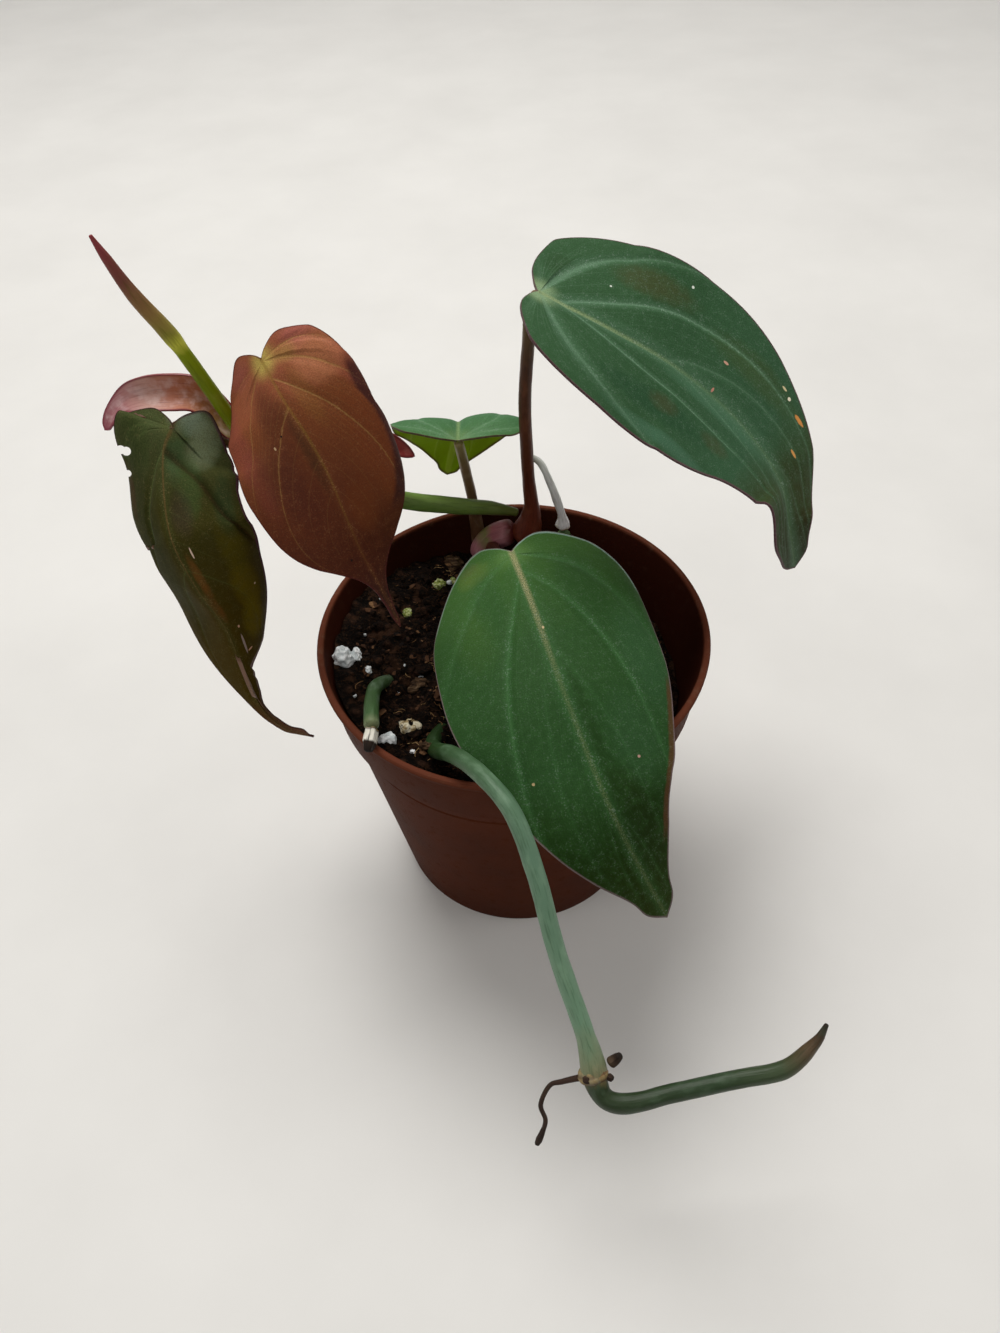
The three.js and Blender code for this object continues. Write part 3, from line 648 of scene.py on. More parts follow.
chip_finish = Finish("brown_chips")
spot = chip_finish.object_mm()
each = chip_finish.cells(spot, 0.45, "Color").axis(0)
fleck = chip_finish.noise(spot, 1.6, 4)
chips_tone = chip_finish.ramp(
    0.6 * each + 0.4 * fleck,
    (0.2, "#0c0604"), (0.42, "#2c1a10"), (0.64, "#4c3220"), (0.85, "#7c5c3e"),
)
chip_finish.surface(
    base_color=chips_tone, roughness=0.85, normal=chip_finish.bump(fleck, 0.3, 0.7), specular=0.15
)
chips = scatter("brown_chips", lumps_of(4, 1, 0.5), draw_spots(620, 0.25, 0.95, 33, 0.1, 0.35))
chips.data.materials.append(chip_finish.material)
settle(chips, "peat")

# %% Perlite and larger lumps
WHITE_GRAINS = [  # place across and along the pot, and radius
    (-25.9, -5.2, 0.7), (-28.0, -11.2, 0.3), (-19.6, -4.4, 0.36), (-17.0, -5.2, 0.5), (-20.6, -9.8, 0.26),
    (-15.7, -13.4, 0.24), (-17.9, -23.0, 0.45), (-11.6, 18.5, 0.55), (26.6, 7.5, 0.4), (25.1, 17.6, 0.3),
    (-24.5, 13.0, 0.3), (18.2, 24.0, 0.35), (-27.2, 4.5, 0.28), (27.8, -4.0, 0.35), (9.6, 27.4, 0.3),
]


def on_soil(x, y, sink=0.0):
    return (x, y, float(soil_height(x, y)) + clods(x, y) - sink)


perlite = Finish("perlite")
spot = perlite.object_mm()
pores = perlite.cells(spot, 2.6).rise(0.08, 0.3)
chalk = perlite.noise(spot, 0.8, 3)
white = perlite.ramp(chalk, (0.35, "#c8d0d2"), (0.65, "#fbfdfe"))
# painted shade: the pores, where the bump dips, are greyed
white = perlite.blend((1 - pores) * 0.5, white, "#8a9390")
relief = perlite.bump(pores + 0.5 * chalk, 0.25, 0.8)
perlite.surface(base_color=white, roughness=0.8, normal=relief, specular=0.2)
white_spots = [(on_soil(gx, gy, -0.15), (r, 0.9 * r, 0.8 * r), (gx, gy, 0)) for gx, gy, r in WHITE_GRAINS]
grains = scatter("white_grains", lumps_of(3, 3, 0.45), white_spots)
grains.data.materials.append(perlite.material)
settle(grains, "perlite")


def lump_piece(name, place, size, seed, rough, finish, slot, node=None):
    model = rough_lump(name + "_model", seed, 5, rough)
    piece = scatter(name, [model], [(place, size, (0, 0, 0))])
    piece.data.materials.append(finish.material)
    settle(piece, slot, *([node] if node else []))


WHITE_LUMPS = [  # name, place, size, seed, roughness and node
    ("perlite_lump", (-30.4, -1.7, 57.3), (2, 2.1, 1.9), 3, 0.28, "perlite_large"),
    ("perlite_bit", (-28.3, -1.4, 57.3), (1.0, 1.35, 1.1), 5, 0.3, "perlite_beside"),
    ("perlite_chip", (-22.2, -20.8, 57), (1.55, 1.35, 1.3), 8, 0.22, "perlite_front"),
]
for name, place, size, seed, rough, node in WHITE_LUMPS:
    lump_piece(name, place, size, seed, rough, perlite, "perlite", node)

crumb_finish = Finish("cream_crumb")
spot = crumb_finish.object_mm()
holes = crumb_finish.cells(spot, 1.5).rise(0.1, 0.35)
mottle = crumb_finish.noise(spot, 0.9, 4)
cream = crumb_finish.ramp(mottle, (0.3, "#4c3820"), (0.45, "#a8946c"), (0.6, "#e3dcc4"))
# painted shade: the holes, where the bump dips, are darkened
cream = crumb_finish.blend((1 - holes) * 0.7, cream, "#2c1e12")
relief = crumb_finish.bump(holes + mottle, 0.5, 0.9)
crumb_finish.surface(base_color=cream, roughness=0.9, normal=relief, specular=0.15)
lump_piece("cream_lump", (-18.7, -18.2, 56.1), (2, 2, 1.9), 37, 0.24, crumb_finish, "crumb", "cream_crumb")

bark_finish = Finish("bark")
spot = bark_finish.object_mm()
layers = bark_finish.noise(bark_finish.stretched(spot, (0.6, 2.6, 3)), 0.8, 4)
bark_tone = bark_finish.ramp(layers, (0.3, "#1e130c"), (0.55, "#4c3826"), (0.75, "#7d6850"))
relief = bark_finish.bump(layers, 0.5, 0.9)
bark_finish.surface(base_color=bark_tone, roughness=0.88, normal=relief, specular=0.15)
lump_piece("bark_chip", (-11.6, 26.4, 52.4), (2, 1.8, 1.3), 14, 0.4, bark_finish, "bark", "bark")
lump_piece("brown_crumb", on_soil(-17.4, -7.4, -0.2), (2.0, 1.5, 0.9), 17, 0.4, bark_finish, "bark")
lump_piece("tan_crumb", on_soil(-15.4, -22.6, -0.3), (1.2, 0.8, 0.8), 31, 0.4, bark_finish, "bark")

moss = Finish("green_crumb")
spot = moss.object_mm()
tuft = moss.noise(spot, 1.8, 4)
moss.surface(
    base_color=moss.ramp(tuft, (0.3, "#4f6224"), (0.5, "#94a050"), (0.68, "#dcdfb8")),
    roughness=0.8,
    normal=moss.bump(tuft, 0.3, 0.8),
    specular=0.2,
)
lump_piece("pale_green_crumb", on_soil(-19.9, 11.7, -0.4), (1.1, 1.2, 0.9), 19, 0.3, moss, "crumb")
lump_piece("yellow_green_crumb", on_soil(-13.6, 19.3, -0.4), (1.2, 0.9, 0.8), 23, 0.3, moss, "crumb")
lump_piece("white_green_crumb", on_soil(-11, 19.6, -0.4), (0.9, 0.8, 0.7), 27, 0.3, moss, "crumb")


# %% [markdown]
# ## Stems, petioles and roots
# Each is a round stalk that follows a smooth path, thicker at its nodes and joints. A cylinder could
# be bent along a curve with a modifier. Here a flat sheet is rolled up round the path, because each
# vertex then knows how far along and around the stalk it lies, and the finish can draw streaks that
# follow the stalk. The section turns with the path as little as it can, so nothing twists.

# %% Rolling a stalk
def section_axes(line, shares):
    """Two directions across the line at each share, carried along it without a twist."""
    headings = line.heading(shares)
    across = np.cross(headings[0], (0.0, 0.3, 1.0))
    carried = []
    for heading in headings:
        across = across - heading * (across @ heading)
        across = across / np.linalg.norm(across)
        carried.append(across)
    carried = np.array(carried)
    return carried, np.cross(headings, carried)


def stalk_piece(name, path, radius, sides=20, step=0.5, ridges=0.03, ends=(0.0, 0.0)):
    """A closed stalk. radius is [share of the way, mm], and ends is how far it reaches past its path."""
    line = Line(path)
    start, end = line.heading([0.0])[0], line.heading([1.0])[0]
    if any(ends):
        line = Line([line.at(0) - start * ends[0], *path[1:-1], line.at(1) + end * ends[1]])
    stations, radii = zip(*radius)
    caps = [1 - math.cos(math.radians(angle)) for angle in range(0, 90, 15)]
    low_cap, high_cap = 0.6 * radii[0] / line.length, 0.6 * radii[-1] / line.length
    middle = np.linspace(low_cap, 1 - high_cap, max(4, round(line.length / step)))
    shares = np.concatenate([[low_cap * c for c in caps], middle, [1 - high_cap * c for c in caps[::-1]]])
    thick = np.interp(shares, stations, radii)
    thick *= np.sqrt(np.clip(1 - np.clip(1 - shares / low_cap, 0, 1) ** 2, 0, 1))
    thick *= np.sqrt(np.clip(1 - np.clip(1 - (1 - shares) / high_cap, 0, 1) ** 2, 0, 1))
    sideways, upward = section_axes(line, shares)

    piece, around, along = flat_sheet(name, sides, len(shares) - 1)
    row = np.rint(along * (len(shares) - 1)).astype(int)
    turn = math.tau * around
    run = shares[row] * line.length
    wave = np.array(
        [noise.noise(Vector((2 * math.cos(a), 2 * math.sin(a), 0.35 * r))) for a, r in zip(turn, run)]
    )
    r = thick[row] * (1 + ridges * (1.5 * wave + 0.4 * np.sin(5 * turn)))
    rim = sideways[row] * np.cos(turn)[:, None] + upward[row] * np.sin(turn)[:, None]
    move_to(piece, line.at(shares)[row] + rim * r[:, None])
    paint(piece, skin=np.stack([r * np.cos(turn), r * np.sin(turn), run], axis=1), run=shares[row])
    merge_doubles(piece)
    smooth(piece, 75)
    return piece


# %% Stem finishes
def stem_finish(
    name, stops, streak="#22331c", bloom="#9fb3a0", streaks=0.35, blooms=0.25, rough=0.42, specular=0.25
):
    """Colours along a stalk, as [share of the way, colour], under fine streaks and a pale bloom."""
    finish = Finish(name)
    skin, run = finish.attribute("skin", "Vector"), finish.attribute("run")
    long_lines = finish.noise(finish.stretched(skin, (1, 1, 0.07)), 3.4, 3)
    cloud = finish.noise(finish.stretched(skin, (1, 1, 0.5)), 0.6, 3)
    pits = finish.noise(skin, 5, 2)
    colour = finish.ramp(run + 0.08 * (cloud - 0.5), *stops)
    colour = finish.blend(long_lines.rise(0.5, 0.7) * streaks, colour, streak)
    colour = finish.blend(cloud.rise(0.45, 0.75) * blooms, colour, bloom)
    finish.surface(
        base_color=colour,
        roughness=rough + 0.2 * (cloud - 0.5) + 0.1 * (pits - 0.5),
        normal=finish.bump(long_lines + 0.4 * pits, 0.12, 0.5),
        specular=specular,
    )
    return finish


# %% Growing a stalk
def grow(node, slot, path, radius, stops, sides=20, step=0.5, ridges=0.03, ends=(0.0, 0.0), **look):
    """One stalk in the place of its solid."""
    piece = stalk_piece("grown_" + node, path, radius, sides, step, ridges, ends)
    piece.data.materials.append(stem_finish(node + "_skin", stops, **look).material)
    settle(piece, slot, node)


# %% [markdown]
# The crown is the short swollen base of the plant, with a pink ring where a sheath fell off. From
# beside it a green runner goes up and to the left, over the rim, to the three leaves there. Each call
# gives the path in millimetres, then the radius and the colour at shares of the way.

# %% Crown and stems at the back
grow(
    "crown", "pink_sheath",
    path=[
        (-4.6, 24.6, 30), (-4.8, 25.4, 44), (-4.9, 26, 53), (-4.4, 26.4, 57), (-2.6, 26.7, 59.2),
        (-0.1, 26.7, 60.3), (1.9, 26.5, 60.8),
    ],
    radius=[
        (0, 1.9), (0.68, 2.1), (0.73, 2.2), (0.745, 2.65), (0.77, 2.75), (0.8, 2.6), (0.93, 2.65),
        (1, 2.4),
    ],
    stops=[
        (0.7, "#2c1c12"), (0.735, "#9a606a"), (0.79, "#b87a84"), (0.82, "#8a7454"), (0.85, "#7c7c44"),
        (0.88, "#a8646c"), (0.94, "#b87880"), (0.975, "#6a2c26"),
    ],
    sides=36, step=0.35, streak="#6a2c34", bloom="#d8b0b0", streaks=0.4, blooms=0.3,
)
grow(
    "back_stem", "green_stem",
    path=[
        (2.5, 27, 64.9), (0.9, 27, 65.5), (-2.9, 26, 67.3), (-8.5, 23.1, 70.5), (-18.3, 17, 77.5),
        (-29.6, 12.6, 86), (-38.5, 10.8, 93), (-41, 10.6, 95.2),
    ],
    radius=[
        (0, 0.75), (0.1, 1.35), (0.25, 1.6), (0.62, 1.6), (0.7, 2), (0.76, 1.6), (0.94, 1.6), (1, 2.1),
    ],
    stops=[(0, "#626a2e"), (0.2, "#769044"), (0.45, "#6e8a44"), (0.9, "#6c7c38"), (1, "#6a6a34")],
    streak="#2c3a1b", bloom="#8aa060",
)

# %% [markdown]
# A petiole is the thin stalk of one leaf. Each ends at the notch of its blade, on the underside.

# %% Petioles
grow(
    "right_petiole", "brown_petiole",
    path=[
        (3, 26.4, 58.6), (4.2, 26.4, 61.4), (5.1, 26.6, 66), (4.6, 26.5, 73), (4.3, 25.5, 80.6),
        (4.1, 24.9, 91.4), (4.9, 24.6, 103.5), (5.3, 24.8, 108.5), (6.6, 24.8, 111.2),
    ],
    radius=[
        (0, 3.3), (0.06, 2.8), (0.11, 2), (0.17, 1.4), (0.27, 1.2), (0.9, 1.05), (0.96, 1.2), (1, 0.9),
    ],
    stops=[(0, "#6c2c1c"), (0.1, "#743624"), (0.3, "#603020"), (0.75, "#4c2c1a"), (1, "#6a5c34")],
    streak="#240e08", bloom="#8a5238", blooms=0.3,
)
grow(
    "front_petiole", "brown_petiole",
    path=[(-2.6, 23, 59.4), (-1.8, 19, 61.5), (-0.6, 13.5, 65), (0.2, 10.4, 67.8), (0.7, 9.3, 69.1)],
    radius=[(0, 1.5), (0.25, 1.15), (0.9, 1.15), (1, 0.9)],
    stops=[(0, "#5c2418"), (0.5, "#4a2a18"), (1, "#5d5434")],
    ends=(2.0, 0), streak="#240e08", bloom="#8a5238",
)
grow(
    "copper_petiole", "brown_petiole",
    path=[
        (-30.6, 14.7, 88.2), (-32.2, 16.6, 95), (-34.5, 16, 102.6), (-35.5, 13.6, 107.4),
        (-35.7, 12.3, 109),
    ],
    radius=[(0, 1.3), (0.2, 0.95), (0.92, 0.95), (1, 0.8)],
    stops=[(0, "#6a5030"), (0.5, "#7c5a3a"), (1, "#96803f")],
    ends=(1.0, 0), streak="#5a2c1c", bloom="#a88860",
)
grow(
    "bronze_petiole", "brown_petiole",
    path=[
        (-42.6, 12.6, 93.6), (-46.5, 13.4, 94.6), (-49.5, 12.4, 96.8), (-50.7, 10.8, 99.2),
        (-51, 9, 100.7),
    ],
    radius=[(0, 1.2), (0.2, 0.85), (0.9, 0.85), (1, 0.7)],
    stops=[(0, "#5c5a30"), (0.5, "#6a4a34"), (1, "#7c6a44")],
    ends=(1.0, 0), streak="#43241a", bloom="#a88860",
)
grow(
    "small_petiole", "grey_petiole",
    path=[
        (-5.4, 28.2, 55.5), (-5.8, 29.2, 61.5), (-6.3, 28.9, 68), (-7.3, 27.4, 77), (-7.8, 25.8, 82),
        (-7.9, 25.3, 83.3),
    ],
    radius=[(0, 1.5), (0.2, 1.3), (0.4, 1.0), (1, 0.9)],
    stops=[(0, "#4c2c1c"), (0.3, "#6a4c34"), (0.7, "#7c6248"), (1, "#8a7c50")],
    streak="#4a3426", bloom="#b0a088",
)

# %% [markdown]
# Two stems were cut or died back: one dried to a white stalk with a flared foot on a green stub, and
# one is a green stem with a frayed white end. The ends are stalks of their own, with deep ridges.

# %% Cut and dried stalks
grow(
    "green_stub", "green_stem",
    path=[(11.2, 25.2, 38), (11.3, 25, 50), (11.2, 25, 61.4)],
    radius=[(0, 1.1), (1, 1.3)],
    stops=[(0, "#3c4a24"), (0.85, "#4d6a34"), (1, "#5c7a44")],
)
grow(
    "dried_stalk", "dried_stem",
    path=[
        (11.1, 25.1, 61.9), (10.9, 25.4, 64.6), (9.9, 25.8, 68.5), (8.6, 26.5, 72.3), (6.9, 27.6, 75.9),
        (5, 28.6, 76.9),
    ],
    radius=[(0, 1.5), (0.07, 1.3), (0.17, 0.78), (0.8, 0.66), (1, 0.55)],
    stops=[(0, "#a0783c"), (0.03, "#d0b080"), (0.06, "#ffffff"), (0.8, "#e6ebe6"), (1, "#b4b8ac")],
    ridges=0.12, streak="#8c8e88", bloom="#ffffff", streaks=0.4, blooms=0.5, rough=0.75,
)
grow(
    "cut_stub", "green_stem",
    path=[
        (-19.5, -3.4, 42), (-20.6, -4, 50), (-22, -5.6, 54.6), (-24.2, -9.6, 58.2), (-24.5, -14.3, 60.6),
        (-24.2, -19.2, 62.4), (-23.9, -22.6, 62.9),
    ],
    radius=[(0, 1), (0.4, 1.2), (1, 1.3)],
    stops=[(0.3, "#263818"), (0.7, "#3a5630"), (0.93, "#44623a"), (1, "#7c8460")],
    streak="#26381d",
)
grow(
    "cut_end", "dried_stem",
    path=[(-23.9, -22.9, 62.9), (-24, -24.4, 62.8), (-24.3, -25.8, 62.4), (-24.6, -26.8, 61.9)],
    radius=[(0, 1.25), (0.1, 1.3), (0.15, 1.1), (0.6, 1.1), (1, 0.6)],
    stops=[
        (0, "#6a6234"), (0.08, "#a08a5c"), (0.14, "#3c2c1c"), (0.2, "#d8d4c6"), (0.55, "#ece8dc"),
        (0.62, "#2a1c12"), (1, "#0c0806"),
    ],
    step=0.15, ridges=0.2, streak="#1c120c", bloom="#f4f2ea", streaks=0.9, rough=0.8,
)

# %% [markdown]
# The vine leaves the soil half buried, arches over the rim and hangs down to a node. There it turns to
# the right as a new shoot, and a thin dark root and the stump of an old leaf stand out from it.

# %% The hanging vine
grow(
    "front_vine", "green_stem",
    path=[
        (-8.5, 1, 40), (-10, -3.5, 49), (-11, -9, 52), (-12.4, -15.4, 53.8), (-14.4, -20.2, 55.4),
        (-14, -23.2, 56.8), (-10.4, -29.9, 63.9), (-6.1, -36.5, 67.3), (-1.8, -43.4, 67.1),
        (1.1, -50.5, 61.4), (3.6, -58.2, 52), (7.2, -66.4, 42), (8.4, -70.6, 36.8),
    ],
    radius=[
        (0, 1.2), (0.1, 1.35), (0.24, 1.35), (0.3, 1.4), (0.6, 1.38), (0.93, 1.45), (0.98, 2), (1, 2),
    ],
    stops=[
        (0.15, "#1c3010"), (0.26, "#1e3412"), (0.36, "#2c4822"), (0.5, "#4a684a"), (0.65, "#62826a"),
        (0.9, "#729478"), (0.97, "#7c8464"), (1, "#8a7450"),
    ],
    sides=28, ends=(0, 0.6), streak="#345434", bloom="#8fae90", streaks=0.4,
)
grow(
    "vine_shoot", "green_stem",
    path=[
        (8.55, -71.3, 36.4), (9.3, -72.9, 35.2), (11.4, -74, 34.8), (14.8, -74, 34.9),
        (19.7, -73.2, 35.4), (29.4, -72.2, 37), (36.2, -71.8, 39), (40.4, -69.7, 43), (41.9, -68.2, 46),
    ],
    radius=[(0, 1.9), (0.08, 1.55), (0.25, 1.4), (0.75, 1.35), (0.86, 1.1), (1, 0.3)],
    stops=[
        (0, "#7c6c48"), (0.05, "#2a3820"), (0.5, "#283c22"), (0.75, "#3e4c32"), (0.88, "#5c4a36"),
        (1, "#24160e"),
    ],
    sides=28, ends=(1.2, 0), streak="#1e2e18", bloom="#647a62",
)
grow(
    "aerial_root", "root",
    path=[
        (6, -70.6, 36.2), (3.6, -70.7, 35.6), (1.6, -70.9, 34.6), (0.1, -72.8, 32), (0.7, -74.4, 30),
        (0.1, -75.6, 28), (-0.8, -76.7, 26),
    ],
    radius=[(0, 0.55), (0.3, 0.36), (0.8, 0.34), (0.93, 0.6), (1, 0.4)],
    stops=[(0, "#3c2a20"), (0.5, "#33241c"), (1, "#2a1d18")],
    sides=12, step=0.3, ridges=0.14, ends=(1.2, 0), streak="#150e0b", bloom="#6a5646", rough=0.8,
)
grow(
    "node_stump", "root",
    path=[(10.5, -69.4, 38), (11.6, -68.9, 38.6), (12.3, -68.7, 39.6)],
    radius=[(0, 0.9), (1, 0.55)],
    stops=[(0, "#4a3a2a"), (0.6, "#34261c"), (1, "#1c1410")],
    sides=14, step=0.2, ridges=0.15, streak="#150e0b", bloom="#7a6450", rough=0.8,
)

# %% [markdown]
# The newest leaf is still rolled up, so it is made as a stalk too: a green petiole, a yellow joint and
# a tapering blade that turns crimson at its tip.

# %% The rolled new leaf
grow(
    "new_leaf", "rolled_leaf",
    path=[
        (-41.9, 11.6, 97.6), (-43.3, 12, 100.1), (-47.8, 12, 112.6), (-51.9, 12, 120.7), (-54, 12, 126.3),
        (-55.1, 12, 129.5),
    ],
    radius=[(0, 1.3), (0.08, 1.15), (0.44, 1.1), (0.5, 1.3), (0.72, 1.1), (0.9, 0.7), (1, 0.25)],
    stops=[
        (0, "#74800c"), (0.3, "#6c7a06"), (0.43, "#7c8a0c"), (0.48, "#c0c044"), (0.53, "#8a8434"),
        (0.64, "#8a6c40"), (0.8, "#74443a"), (1, "#8f3c44"),
    ],
    sides=24, streak="#4a4a0c", bloom="#a89a50", blooms=0.15, rough=0.45, specular=0.1,
)

# %% [markdown]
# The vine's node is a swollen tan ring with a dark scar and a brown stump, where a leaf once stood.
# Round the stems lie short curled fibres of peat. A few bent stalks are drawn once and copied.

# %% Node ring
ring = stalk_piece(
    "node_ring",
    [(7.8, -69.2, 38.2), (8.2, -70.4, 37), (8.6, -71.6, 36)],
    [(0, 1.95), (0.15, 2.25), (0.35, 2.1), (0.5, 2.3), (0.7, 2.15), (1, 1.8)],
    sides=32, step=0.12, ridges=0.06,
)
ring_stops = [
    (0, "#7a7a54"), (0.2, "#9a8458"), (0.4, "#6a5034"), (0.55, "#a08a5c"), (0.75, "#5c4630"), (1, "#74683f"),
]
ring_finish = stem_finish("node_ring_skin", ring_stops, streak="#2a1c12", streaks=0.6, rough=0.6)
ring.data.materials.append(ring_finish.material)
settle(ring, "green_stem")
SCARS_ON_NODE = [  # name, path and radius
    ("node_scar", [(7.2, -70.9, 38.2), (7, -72, 37.6)], 0.8),
    ("node_bud", [(10.2, -71, 37.6), (11, -71.6, 37.9)], 0.6),
]
for name, path, thick in SCARS_ON_NODE:
    scar = stalk_piece(name, path, [(0, thick), (1, 0.6 * thick)], sides=14, step=0.15, ridges=0.3)
    scar.data.materials.append(bpy.data.materials["aerial_root_skin"])
    settle(scar, "root")

# %% Fibres of peat
FIBRE_UNIT = 1000  # one unit of a model is scaled to a millimetre
FIBRE_BENDS = [(0.3, -0.2), (-0.4, 0.2), (0.8, 0.5), (-0.2, -0.5)]  # sideways, at a third and two thirds
fibre_models = []
for index, (first_bend, second_bend) in enumerate(FIBRE_BENDS):
    bent = [(-1.5, 0, 0), (-0.5, first_bend, 0.15), (0.5, second_bend, 0.25), (1.5, 0.1, 0)]
    bent = [tuple(FIBRE_UNIT * axis for axis in place) for place in bent]
    stations = [(0, 0.05 * FIBRE_UNIT), (0.5, 0.08 * FIBRE_UNIT), (1, 0.04 * FIBRE_UNIT)]
    model = stalk_piece(f"fibre_{index}", bent, stations, sides=4, step=0.6 * FIBRE_UNIT, ridges=0)
    fibre_models.append(model)


def fibre_spots(count, seed, near=None, spread=6.0):
    """Seeded spots for fibres, all over the soil or round one place."""
    draw = random.Random(seed)
    spots = []
    while len(spots) < count:
        distance, turn = 29 * math.sqrt(draw.random()), draw.uniform(0, math.tau)
        x, y = distance * math.cos(turn), distance * math.sin(turn)
        if near:
            x, y = draw.gauss(near[0], spread), draw.gauss(near[1], spread)
        if math.hypot(x, y) > 29:
            continue
        size = draw.uniform(0.25, 0.8)
        turns = (draw.uniform(-0.5, 0.5), draw.uniform(-0.3, 0.3), draw.uniform(0, math.tau))
        spots.append((on_soil(x, y, -0.25), (size, size, size), turns))
    return spots


straw = Finish("peat_fibre")
spot = straw.object_mm()
each = straw.cells(spot, 0.4, "Color").axis(0)
straw_tone = straw.ramp(each, (0.2, "#24140a"), (0.5, "#553821"), (0.75, "#8a6540"), (0.95, "#c0a070"))
straw.surface(base_color=straw_tone, roughness=0.8, specular=0.15)
spots = fibre_spots(260, 51) + fibre_spots(70, 52, (-14, -23), 7) + fibre_spots(30, 53, (-8, 20), 5)
fibres = scatter("peat_fibres", fibre_models, spots)
fibres.data.materials.append(straw.material)
settle(fibres, "peat")

# %% [markdown]
# ## Leaves
# A leaf is a heart-shaped blade, folded and curled round its midrib, with side veins that start near
# the petiole and sweep towards the tip. It could be sculpted, but five leaves of one kind share one
# rule: a flat sheet is laid over two halves, each vertex knows its place along the margin and how far
# out from the midrib it lies, and the rib, the fold and the curl give its place in space. The veins
# follow from the same two numbers, so that relief and colour agree.

# %% The form of a leaf
HEART = [
    (0, -0.015), (0.12, -0.055), (0.3, -0.085), (0.52, -0.06), (0.8, 0.02), (0.97, 0.14), (1, 0.3),
    (0.95, 0.47), (0.71, 0.65), (0.42, 0.81), (0.21, 0.91), (0.14, 0.965), (0, 1),
]
LONG_TIP = [
    (0, -0.015), (0.12, -0.055), (0.32, -0.085), (0.51, -0.06), (0.8, 0.02), (0.98, 0.14), (1, 0.3),
    (1, 0.47), (0.78, 0.65), (0.22, 0.81), (0.07, 0.91), (0.04, 0.965), (0, 1),
]
BOAT = [(0, -0.02), (0.7, 0), (0.95, 0.12), (1, 0.35), (0.9, 0.62), (0.55, 0.86), (0.2, 0.97), (0, 1)]
HOOKED_BOAT = [
    (0, -0.02), (0.7, 0), (0.95, 0.12), (1, 0.35), (0.9, 0.56), (0.76, 0.7), (0.5, 0.8), (0.38, 0.9),
    (0.26, 0.97), (0, 1),
]
VEIN_SWEEP, VEIN_REACH, VEIN_RISE = 0.9, 0.6, 0.35
ROLL_START, CROSS_STEPS = 0.72, 12


def lerp(ends, share):
    return ends[0] + (ends[1] - ends[0]) * share


def leaf_form(leaf, side, t, w):
    """Places on one half of a leaf's upper face, their places laid flat, and their shares of its length.
    t runs along the margin from the notch to the tip, and w from the midrib to the margin."""
    rib, half = leaf["line"], leaf["right"] if side > 0 else leaf["left"]
    rim_x, rim_y = smooth_through(leaf["outline"], t).T
    bitten = np.zeros_like(t)
    for nick_side, place, reach, depth in leaf.get("nicks", ()):
        if nick_side == side:
            bitten += depth * np.clip(1 - np.abs(t - place) / reach, 0, 1)
    across = rim_x * half["width"] * (1 - bitten)
    tapered = np.abs(rim_y) ** half.get("taper", 1)
    along = rib.length * np.where(rim_y < 0, rim_y * half.get("lobe", 1), tapered)
    mean_width = (leaf["right"]["width"] + leaf["left"]["width"]) / 2
    root = np.maximum(0, rib.length * rim_y - VEIN_SWEEP * rim_x * mean_width)
    x = 2 * w * (1 - w) * VEIN_REACH * across + w * w * across
    bend = root + VEIN_RISE * (along - root)
    y = (1 - w) ** 2 * root + 2 * w * (1 - w) * bend + w * w * along

    u = np.clip(y / rib.length, 0, 1)
    centre = rib.at(u) + rib.heading(u, 0.0005) * np.minimum(0, y)[:, None]
    heading = rib.heading(u, half.get("steady", 0.0005))
    face = lerp([np.array(f, float) for f in leaf["face"]], u[:, None])
    face = unit(face - heading * (face * heading).sum(axis=1, keepdims=True))
    sideways = np.cross(heading, face)
    out, up = np.zeros_like(x), np.zeros_like(x)
    for step in range(CROSS_STEPS):
        share = x * (step + 0.5) / CROSS_STEPS / half["width"]
        rolled = np.clip((share - ROLL_START) / (1 - ROLL_START), 0, None)
        angle = lerp(half["fold"], u) + lerp(half["curl"], u) * share + half.get("roll", 0) * rolled**2
        out += x / CROSS_STEPS * np.cos(angle)
        up += x / CROSS_STEPS * np.sin(angle)
    places = centre + sideways * (side * out)[:, None] + face * up[:, None]
    margin = (1 - w) * np.hypot(across, along - root)
    return places, np.stack([side * x, y, margin], axis=1), u


def vein_order(veins, t, w):
    """1 on the first side vein, 2 on the second and so on, the share of t between two of them, and the
    strength of the nearest."""
    knots = [t * 0 - 0.1, *[start + rise * w**power for start, rise, power, _ in veins], t * 0 + 1.1]
    order, gap = np.zeros_like(t), np.zeros_like(t)
    for low, high in zip(knots, knots[1:]):
        width = np.maximum(high - low, 1e-4)
        share = np.clip((t - low) / width, 0, 1)
        order += share
        gap = np.where((share > 0) & (share <= 1) & (t >= low), width, gap)
    strengths = np.array([0, *[strength for *_, strength in veins], 0])
    return order, gap, strengths[np.rint(order).astype(int)]


